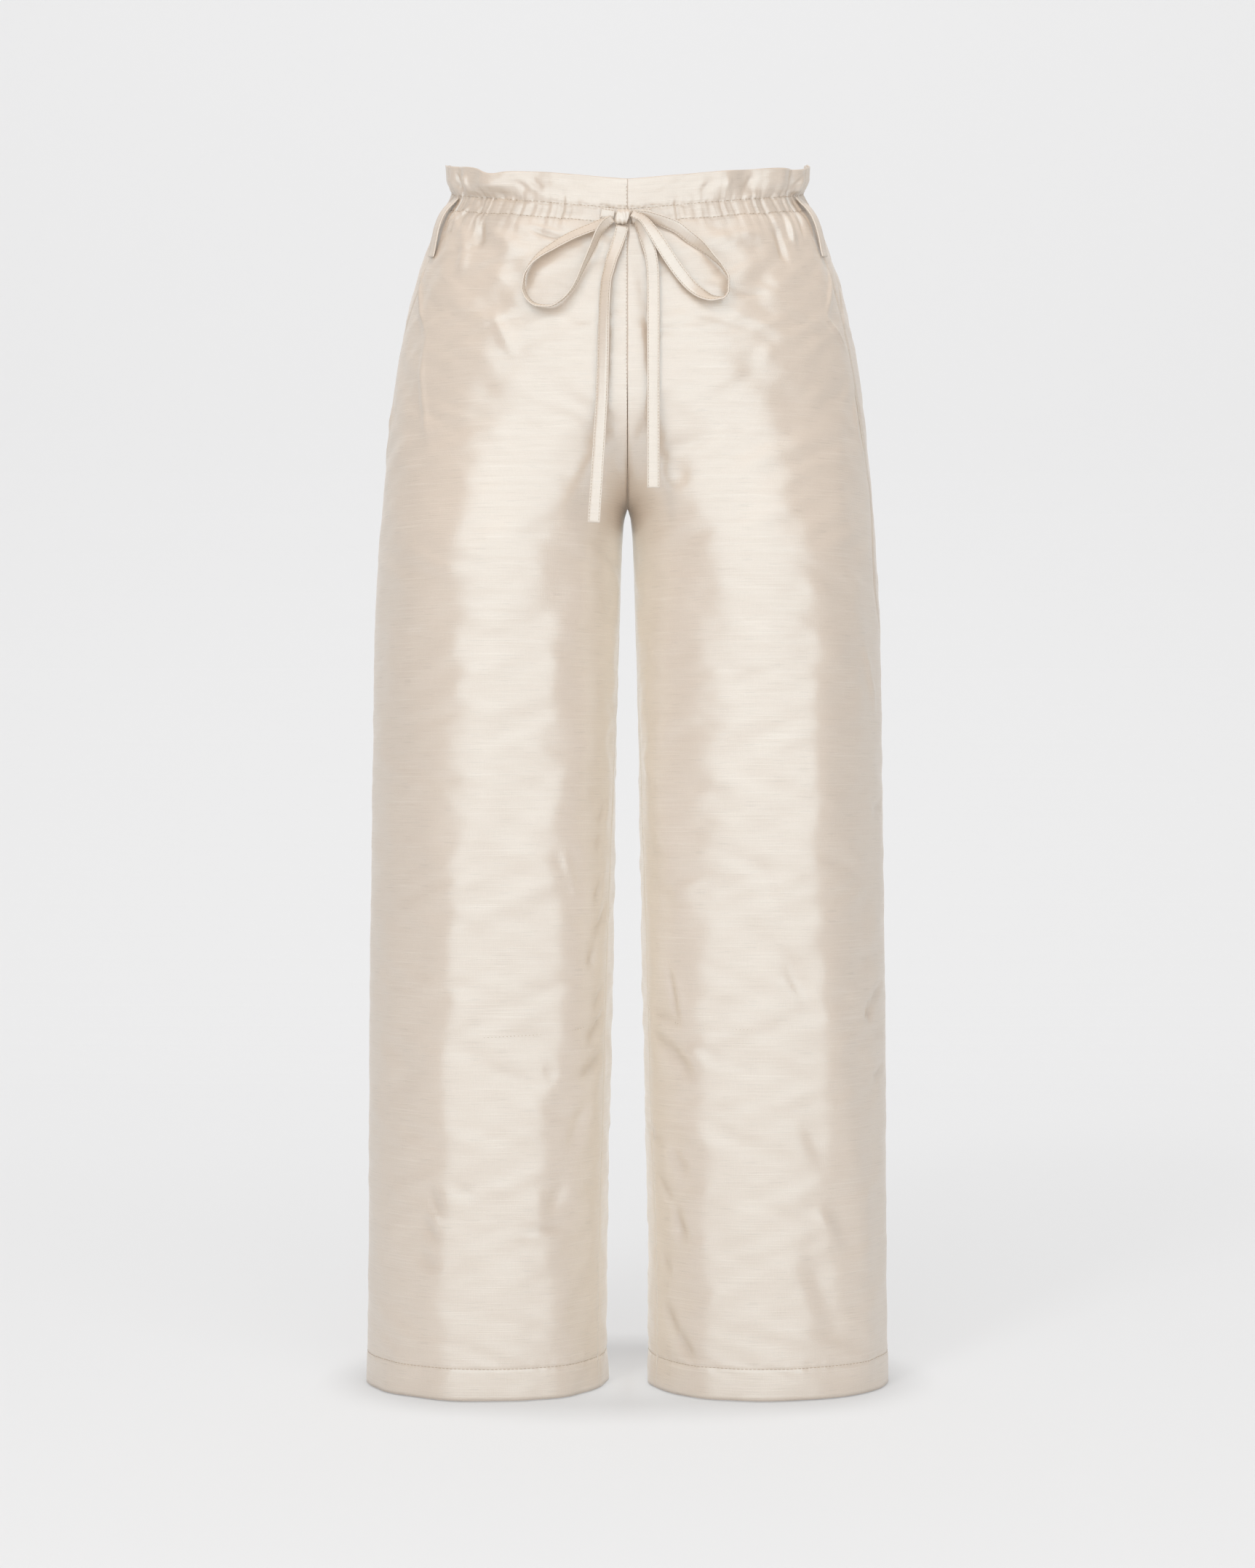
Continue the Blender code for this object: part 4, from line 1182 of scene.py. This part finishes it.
# Each row: x, height above the hem, turn of its face from flat (degrees), width as a share
# of the whole, how far it floats off the cloth.
LEFT_LEAD = (
    (0.0192, 0.9412, 0, 0.86, 0.0003),
    (0.0110, 0.9405, 0, 0.80, 0.0004),
    (0.0026, 0.9400, 0, 0.66, 0.0004),
)
RIGHT_LEAD = (
    (-0.0210, 0.9419, 0, 0.86, 0.0002),
    (-0.0155, 0.9411, 0, 0.80, 0.0002),
    (-0.0104, 0.9403, 0, 0.70, 0.0003),
)
RIGHT_LOOP = (
    (-0.0122, 0.9366, 8, 0.60, 0.0020),
    (-0.0170, 0.9338, 20, 0.80, 0.0020),
    (-0.0243, 0.9304, 34, 1.00, 0.0015),
    (-0.0346, 0.9264, 40, 1.00, 0.0010),
    (-0.0449, 0.9221, 42, 1.00, 0.0008),
    (-0.0587, 0.9143, 50, 1.00, 0.0008),
    (-0.0701, 0.9069, 64, 1.00, 0.0008),
    (-0.0776, 0.8989, 80, 1.00, 0.0008),
    (-0.0816, 0.8897, 92, 1.00, 0.0008),
    (-0.0821, 0.8806, 102, 1.00, 0.0008),
    (-0.0787, 0.8726, 108, 1.00, 0.0008),
    (-0.0713, 0.8668, 106, 1.00, 0.0008),
    (-0.0615, 0.8657, 100, 1.00, 0.0008),
    (-0.0529, 0.8697, 94, 1.00, 0.0008),
    (-0.0455, 0.8766, 90, 1.00, 0.0010),
    (-0.0398, 0.8857, 84, 1.00, 0.0012),
    (-0.0341, 0.8983, 76, 1.00, 0.0016),
    (-0.0278, 0.9121, 68, 1.00, 0.0022),
    (-0.0220, 0.9252, 56, 0.90, 0.0034),
    (-0.0169, 0.9321, 34, 0.75, 0.0046),
    (-0.0119, 0.9360, 14, 0.60, 0.0046),
)
LEFT_LOOP = (
    (0.0034, 0.9402, 16, 0.55, 0.0020),
    (0.0100, 0.9398, 34, 0.70, 0.0026),
    (0.0243, 0.9355, 32, 0.95, 0.0018),
    (0.0386, 0.9298, 22, 1.00, 0.0010),
    (0.0489, 0.9218, 28, 1.00, 0.0008),
    (0.0587, 0.9143, 52, 1.00, 0.0008),
    (0.0673, 0.9058, 76, 1.00, 0.0008),
    (0.0753, 0.8972, 88, 1.00, 0.0008),
    (0.0799, 0.8874, 92, 1.00, 0.0008),
    (0.0793, 0.8783, 90, 1.00, 0.0008),
    (0.0747, 0.8731, 78, 1.00, 0.0008),
    (0.0673, 0.8726, 60, 1.00, 0.0008),
    (0.0592, 0.8754, 36, 1.00, 0.0010),
    (0.0507, 0.8817, 16, 1.00, 0.0016),
    (0.0421, 0.8915, 4, 1.00, 0.0026),
    (0.0335, 0.9035, 0, 1.00, 0.0042),
    (0.0260, 0.9155, 4, 1.00, 0.0052),
    (0.0180, 0.9275, 14, 0.90, 0.0056),
    (0.0112, 0.9358, 22, 0.70, 0.0060),
    (0.0034, 0.9398, 12, 0.55, 0.0056),
)
RIGHT_TAIL = (
    (-0.0041, 0.9304, 0, 0.98, 0.0022),
    (-0.0052, 0.9252, 4, 1.00, 0.0016),
    (-0.0094, 0.9121, 14, 1.00, 0.0010),
    (-0.0123, 0.9040, 22, 1.00, 0.0008),
    (-0.0143, 0.8960, 30, 1.00, 0.0008),
    (-0.0169, 0.8840, 36, 1.00, 0.0008),
    (-0.0180, 0.8669, 34, 1.00, 0.0008),
    (-0.0188, 0.8376, 26, 1.00, 0.0010),
    (-0.0200, 0.7980, 18, 1.00, 0.0014),
    (-0.0231, 0.7460, 12, 1.00, 0.0016),
    (-0.0265, 0.6953, 8, 1.00, 0.0016),
)
LEFT_TAIL = (
    (0.0036, 0.9350, 26, 0.55, 0.0018),
    (0.0060, 0.9354, 44, 0.60, 0.0012),
    (0.0089, 0.9310, 42, 0.75, 0.0008),
    (0.0129, 0.9229, 26, 0.95, 0.0006),
    (0.0163, 0.9143, 12, 1.00, 0.0006),
    (0.0186, 0.9058, 6, 1.00, 0.0006),
    (0.0200, 0.8926, 2, 1.00, 0.0006),
    (0.0203, 0.8783, 0, 1.00, 0.0006),
    (0.0203, 0.8400, -4, 1.00, 0.0010),
    (0.0203, 0.7978, -8, 1.00, 0.0014),
    (0.0203, 0.7224, -6, 1.00, 0.0016),
)


def resampled(rows, count):
    """The rows of a table, spaced evenly along a smooth curve through their x and height."""
    rows = np.array(rows, float)
    travelled = run_along(rows[:, :2])
    table = np.column_stack([travelled, rows])
    at = np.linspace(0, travelled[-1], count)
    return np.stack([along(at, table, column) for column in range(1, 6)], -1)


def front_depth(x, h):
    """How far in front of the side seams the cloth lies at this x and height.

    The turn and the ring's height are found in six rounds, each from the last one's.
    """
    v = h.copy()
    for _ in range(6):
        share = np.clip(np.abs(x) / along(v, SECTIONS, 1), 0, 1)
        t = np.arcsin(share) * 2 / np.pi
        v = np.maximum(h - waist_drop(t) * smooth(v, *TILT_START), HANG_V)
    full = 1 + HIP_SQUARE * np.sin(np.pi * t) ** 2
    return along(v, SECTIONS, 2) * full * np.cos(t * np.pi / 2)


def tie_route(rows, count):
    """Centres, half-width arrows and half-thickness arrows of a length of the tie.

    It lies over the cloth's ridges. Its face is turned about its own run by the table's turn.
    """
    x, h, turn, width, lift = resampled(rows, count).T
    turn = np.radians(turn)
    half_wide = TIE_WIDE / 2 * width
    depth = front_depth(x, h) + RIDGE + TIE_THICK / 2 + lift + half_wide * np.abs(np.sin(turn))
    centres = np.stack([x, -depth, h - WAIST_H], -1)
    forward = unit(np.gradient(centres, axis=0))
    to_viewer = unit(np.array([0.0, -1.0, 0.0]) - forward * -forward[:, 1:2])
    across = np.cross(to_viewer, forward)
    wide = across * np.cos(turn)[:, None] + to_viewer * np.sin(turn)[:, None]
    thick = np.cross(forward, wide) * TIE_THICK / 2
    return centres, wide * half_wide[:, None], thick


TIE_PARTS = {
    "lead_left": (LEFT_LEAD, 24),
    "lead_right": (RIGHT_LEAD, 20),
    "loop_left": (LEFT_LOOP, 170),
    "loop_right": (RIGHT_LOOP, 170),
    "tail_left": (LEFT_TAIL, 150),
    "tail_right": (RIGHT_TAIL, 150),
}
tie_routes = {}
for part_name, (rows, count) in TIE_PARTS.items():
    tie_routes[part_name] = tie_route(rows, count)
    strip_piece("tie_strip_" + part_name, *tie_routes[part_name])
    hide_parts("tie_" + part_name)


def knot_points(rings, count):
    """The knot: a band wrapped round the bow's middle, with slanting folds across it.

    Each ring is a square with round corners, a power of the cosine and sine. The rings
    narrow to both sides, and three waves across them are the folds.
    """
    half = np.array(KNOT_SIZE) / 2
    depth = front_depth(np.array([KNOT_X]), np.array([KNOT_H]))[0]
    middle = np.array([KNOT_X, -depth - half[1] - KNOT_OFF, KNOT_H - WAIST_H])
    s = np.linspace(-1, 1, rings)[:, None]
    a = 2 * np.pi * np.arange(count) / count
    c, d = np.cos(a), np.sin(a)
    y = np.sign(c) * np.abs(c) ** 0.70
    z = np.sign(d) * np.abs(d) ** 0.62
    swell = (1 - 0.10 * s**2) * (1 - 0.55 * smooth(np.abs(s), 0.80, 1.0) ** 2)
    folds = 1 - 0.10 * np.cos(np.pi * (1.6 * s + 0.9 * d)) ** 4 + 0.03 * np.sin(7 * s)
    x = s * half[0] * (1 + 0.06 * d) + 0.0012 * d
    y, z = (power * size * swell * folds for power, size in ((y, half[1]), (z, half[2])))
    return middle + np.stack([x, y, z], -1)


KNOT_RINGS, KNOT_POINTS = 30, 48
KNOT_MAP_RADIUS = 0.0055
knot_rings = knot_points(KNOT_RINGS, KNOT_POINTS)
around = 2 * np.pi * np.arange(KNOT_POINTS + 1) / KNOT_POINTS * KNOT_MAP_RADIUS
over = np.linspace(0, KNOT_SIZE[0], KNOT_RINGS)[:, None]
place = np.stack(np.broadcast_arrays(around[None], over), -1)
knot = tube_piece("tie_knot_band", knot_rings[:, ::-1], place)
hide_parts("tie_knot")


# All stitching is one fine thread in short straight stitches: two rows round the casing, one
# round each hem, one across each calf, one down the centre front and two along the tie.
THREAD = 0.00022  # half its thickness
thread_material = bpy.data.materials.new("thread")
thread_material.use_nodes = True
thread_nodes = thread_material.node_tree.nodes
thread_shader = thread_nodes["Principled BSDF"]
ply = thread_nodes.new("ShaderNodeTexNoise")
ply.inputs["Scale"].default_value = 2500
ply.inputs["Detail"].default_value = 1
where_on = thread_nodes.new("ShaderNodeTexCoord")
thread_links = thread_material.node_tree.links
thread_links.new(where_on.outputs["Object"], ply.inputs["Vector"])
# The thread is a brown far darker than the silk: partly the thread's own tone, partly painted
# shade of the stitch holes.
thread_tone_and_hole_shade = thread_nodes.new("ShaderNodeMix")
thread_tone_and_hole_shade.data_type = "RGBA"
thread_tone_and_hole_shade.inputs["A"].default_value = (0.40, 0.31, 0.22, 1)
thread_tone_and_hole_shade.inputs["B"].default_value = (0.62, 0.52, 0.41, 1)
thread_links.new(ply.outputs["Fac"], thread_tone_and_hole_shade.inputs["Factor"])
thread_links.new(thread_tone_and_hole_shade.outputs["Result"], thread_shader.inputs["Base Color"])
thread_shader.inputs["Roughness"].default_value = 0.55

# One stitch along its own x axis: share of half its length, share of its thickness.
STITCH = np.array([(-1.0, 0.25), (-0.8, 0.8), (0.0, 1.0), (0.8, 0.8), (1.0, 0.25)])
STITCH_SIDES = 5


def stitches(name, lines, long, gap):
    """Rows of stitches as one mesh.

    Each line is its points and the directions out of the cloth there. The stitches are set
    evenly along the line's length, and each is a short thread with narrowed ends.
    """
    angle = 2 * np.pi * np.arange(STITCH_SIDES) / STITCH_SIDES
    rings = len(STITCH)
    all_points = []
    for points, outs in lines:
        travelled = run_along(points)
        count = int(travelled[-1] / (long + gap))
        middle = (np.arange(count) + 0.5) * (long + gap)
        centre, before, after, out = (
            np.stack([np.interp(middle + shift, travelled, field[:, i]) for i in range(3)], -1)
            for shift, field in ((0, points), (-long / 2, points), (long / 2, points), (0, outs))
        )
        ahead = unit(after - before)
        beside = unit(np.cross(out, ahead))
        out = np.cross(ahead, beside)
        centre, ahead, beside, out = (a[:, None, None] for a in (centre, ahead, beside, out))
        share, swell = STITCH.T[:, None, :, None, None]
        round_it = beside * np.cos(angle)[:, None] + out * np.sin(angle)[:, None]
        bow = out * (1 - share**2) * THREAD * 0.8
        ring = centre + ahead * (share * long / 2) + round_it * (swell * THREAD) + bow
        all_points.append(ring.reshape(-1, 3))
    points = np.concatenate(all_points)
    count = len(points) // (rings * STITCH_SIDES)
    number = np.arange(rings * STITCH_SIDES).reshape(rings, STITCH_SIDES)
    right = np.roll(number, -1, axis=1)
    quads = np.stack([number[:-1], right[:-1], right[1:], number[1:]], -1).reshape(-1, 4)
    start = (np.arange(count) * rings * STITCH_SIDES)[:, None, None]
    caps = np.stack([number[0, ::-1], number[-1]])
    sides = (quads[None] + start).reshape(-1, 4).tolist()
    ends = (caps[None] + start).reshape(-1, STITCH_SIDES).tolist()
    mesh = bpy.data.meshes.new(name)
    mesh.from_pydata(points.tolist(), [], sides + ends)
    return finished(mesh, thread_material)


def line_on_cloth(t, v, side, lift=0.0001):
    """Points of a line on the cloth, with the directions out of it."""
    t, v = np.broadcast_arrays(np.asarray(t, float), np.asarray(v, float))
    return skin(t, v, side, lift), outward(t, v) * np.array([side, 1, 1])


waist_rows, hem_rows, fine_rows = [], [], []
for side in SIDE_TURNS.values():
    for back in (False, True):
        for v in (CASING_V, FRILL_V):
            low, high = (float(edge) for edge in seam_turns(np.array(v), back, side))
            waist_rows.append(line_on_cloth(np.linspace(low + 0.006, high - 0.006, 900), v, side))
        low, high = (float(edge) for edge in seam_turns(np.array(HEM_DEEP), back, side))
        hem_rows.append(line_on_cloth(np.linspace(low + 0.006, high - 0.006, 300), HEM_DEEP, side))
    calf_t = np.linspace(*CALF_LINES[side][[0, -1], 0], 200)
    fine_rows.append(line_on_cloth(calf_t, calf_line(calf_t, side), side, -0.00005))
fine_rows.append(line_on_cloth(np.full(300, 0.0026), np.linspace(0.735, 0.998, 300), -1, 0.0))
# Each kind of stitch: its rows, length and gap.
for kind, rows, long, gap in (
    ("casing_stitches", waist_rows, 0.0024, 0.0006),
    ("hem_stitches", hem_rows, 0.0026, 0.0007),
    ("pick_stitches", fine_rows, 0.0013, 0.0017),
):
    stitches(kind, rows, long, gap)

tie_rows = []
for part_name, (centres, wide, thick) in tie_routes.items():
    for edge in (-0.78, 0.78):
        for face in (-1, 1):
            tie_rows.append((centres + wide * edge + thick * 0.80 * face, unit(thick) * face))
stitches("tie_stitches", tie_rows, 0.0019, 0.0006)


# The studio is a pale floor just below the hems that runs up into a pale wall behind. One
# large soft light stands in front, a small one above to the side and one far overhead. Three
# faint ones between the legs stand for the light that a white room throws back there.
FLOOR_DROP = 0.0010
FLOOR_COLOUR = (0.500, 0.500, 0.504)
BACKGROUND = (0.831, 0.831, 0.831)
FLOOR_GLOW = 0.329  # how much of its paleness is its own, near the trousers
WALL_GLOW = 0.426  # and at the wall
GLOW_Y = (-0.4, 2.4)  # from where to where the one becomes the other
SWEEP_RADIUS = 1.2
WALL_Y = 3.4
floor_material = bpy.data.materials.new("studio")
floor_material.use_nodes = True
floor_shader = floor_material.node_tree.nodes["Principled BSDF"]
floor_shader.inputs["Base Color"].default_value = (*FLOOR_COLOUR, 1)
floor_shader.inputs["Roughness"].default_value = 0.9
floor_shader.inputs["Specular IOR Level"].default_value = 0.0
floor_shader.inputs["Emission Color"].default_value = (*BACKGROUND, 1)
studio_nodes, studio_links = floor_material.node_tree.nodes, floor_material.node_tree.links
studio_place = studio_nodes.new("ShaderNodeTexCoord")
studio_split = studio_nodes.new("ShaderNodeSeparateXYZ")
studio_back = studio_nodes.new("ShaderNodeMapRange")
studio_back.interpolation_type = "SMOOTHSTEP"
studio_back.inputs["From Min"].default_value = GLOW_Y[0]
studio_back.inputs["From Max"].default_value = GLOW_Y[1]
studio_back.inputs["To Min"].default_value = FLOOR_GLOW
studio_back.inputs["To Max"].default_value = WALL_GLOW
studio_links.new(studio_place.outputs["Object"], studio_split.inputs["Vector"])
studio_links.new(studio_split.outputs["Y"], studio_back.inputs["Value"])
studio_links.new(studio_back.outputs["Result"], floor_shader.inputs["Emission Strength"])
sweep_angle = np.linspace(0, np.pi / 2, 24)
curve_y = WALL_Y - SWEEP_RADIUS + SWEEP_RADIUS * np.sin(sweep_angle)
curve_z = SWEEP_RADIUS - SWEEP_RADIUS * np.cos(sweep_angle)
sweep_y = np.concatenate([[-6.0], curve_y, [WALL_Y]])
sweep_z = np.concatenate([[0.0], curve_z, [6.0]]) - WAIST_H - FLOOR_DROP
sweep_x = np.array([-8.0, 8.0])
sweep_points = [(x, y, z) for y, z in zip(sweep_y, sweep_z) for x in sweep_x]
sweep_faces = [(2 * i, 2 * i + 1, 2 * i + 3, 2 * i + 2) for i in range(len(sweep_y) - 1)]
sweep_mesh = bpy.data.meshes.new("studio_sweep")
sweep_mesh.from_pydata(sweep_points, [], sweep_faces)
sweep_mesh.materials.append(floor_material)
sweep = bpy.data.objects.new("studio_sweep", sweep_mesh)
stage.collection.objects.link(sweep)

LEG_FILL_COLOUR = (0.72, 0.90, 1.0)  # cool, because the silk there warms its own light
GAP_SPREAD = 1.5
# Each light: place, what it points at, width, height, watts.
LIGHTS = (
    ("front_light", (0.05, -3.0, 0.5), (0.05, 0, 0.5), 5.6, 4.2, 90),
    ("upper_fill", (-1.1, -2.4, 1.7), (0, 0, -0.3), 0.5, 0.5, 13),
    ("top_light", (0.0, -0.02, 6.0), (0, -0.02, 0), 0.55, 0.55, 160),
    ("right_leg_fill", (0.0, -0.02, -0.60), (-1, -0.02, -0.60), 0.10, 0.68, 0.075),
    ("left_leg_fill", (0.0, -0.02, -0.60), (1, -0.02, -0.60), 0.10, 0.68, 0.075),
    ("gap_fill", (0.0, 0.03, -0.78), (0, 0.03, -2), 0.02, 0.16, 0.04),
)
for name, where, target, width, height, watts in LIGHTS:
    light_data = bpy.data.lights.new(name, "AREA")
    light_data.shape = "RECTANGLE"
    light_data.size = width
    light_data.size_y = height
    light_data.energy = watts
    if "leg_fill" in name:
        light_data.color = LEG_FILL_COLOUR
    if name == "gap_fill":
        light_data.spread = GAP_SPREAD
    light = bpy.data.objects.new(name, light_data)
    light.visible_camera = False
    light.visible_glossy = name == "front_light"
    stage.collection.objects.link(light)
    aim = np.array(target) - np.array(where)
    light.location = where
    level = np.hypot(aim[0], aim[1])
    light.rotation_euler = (np.arctan2(level, -aim[2]), 0, np.arctan2(aim[1], aim[0]) - np.pi / 2)

world = bpy.data.worlds.new("studio_air")
world.use_nodes = True
world.node_tree.nodes["Background"].inputs["Color"].default_value = (1.0, 0.995, 0.985, 1)
world.node_tree.nodes["Background"].inputs["Strength"].default_value = 0.49
stage.world = world
stage.view_settings.view_transform = "Standard"
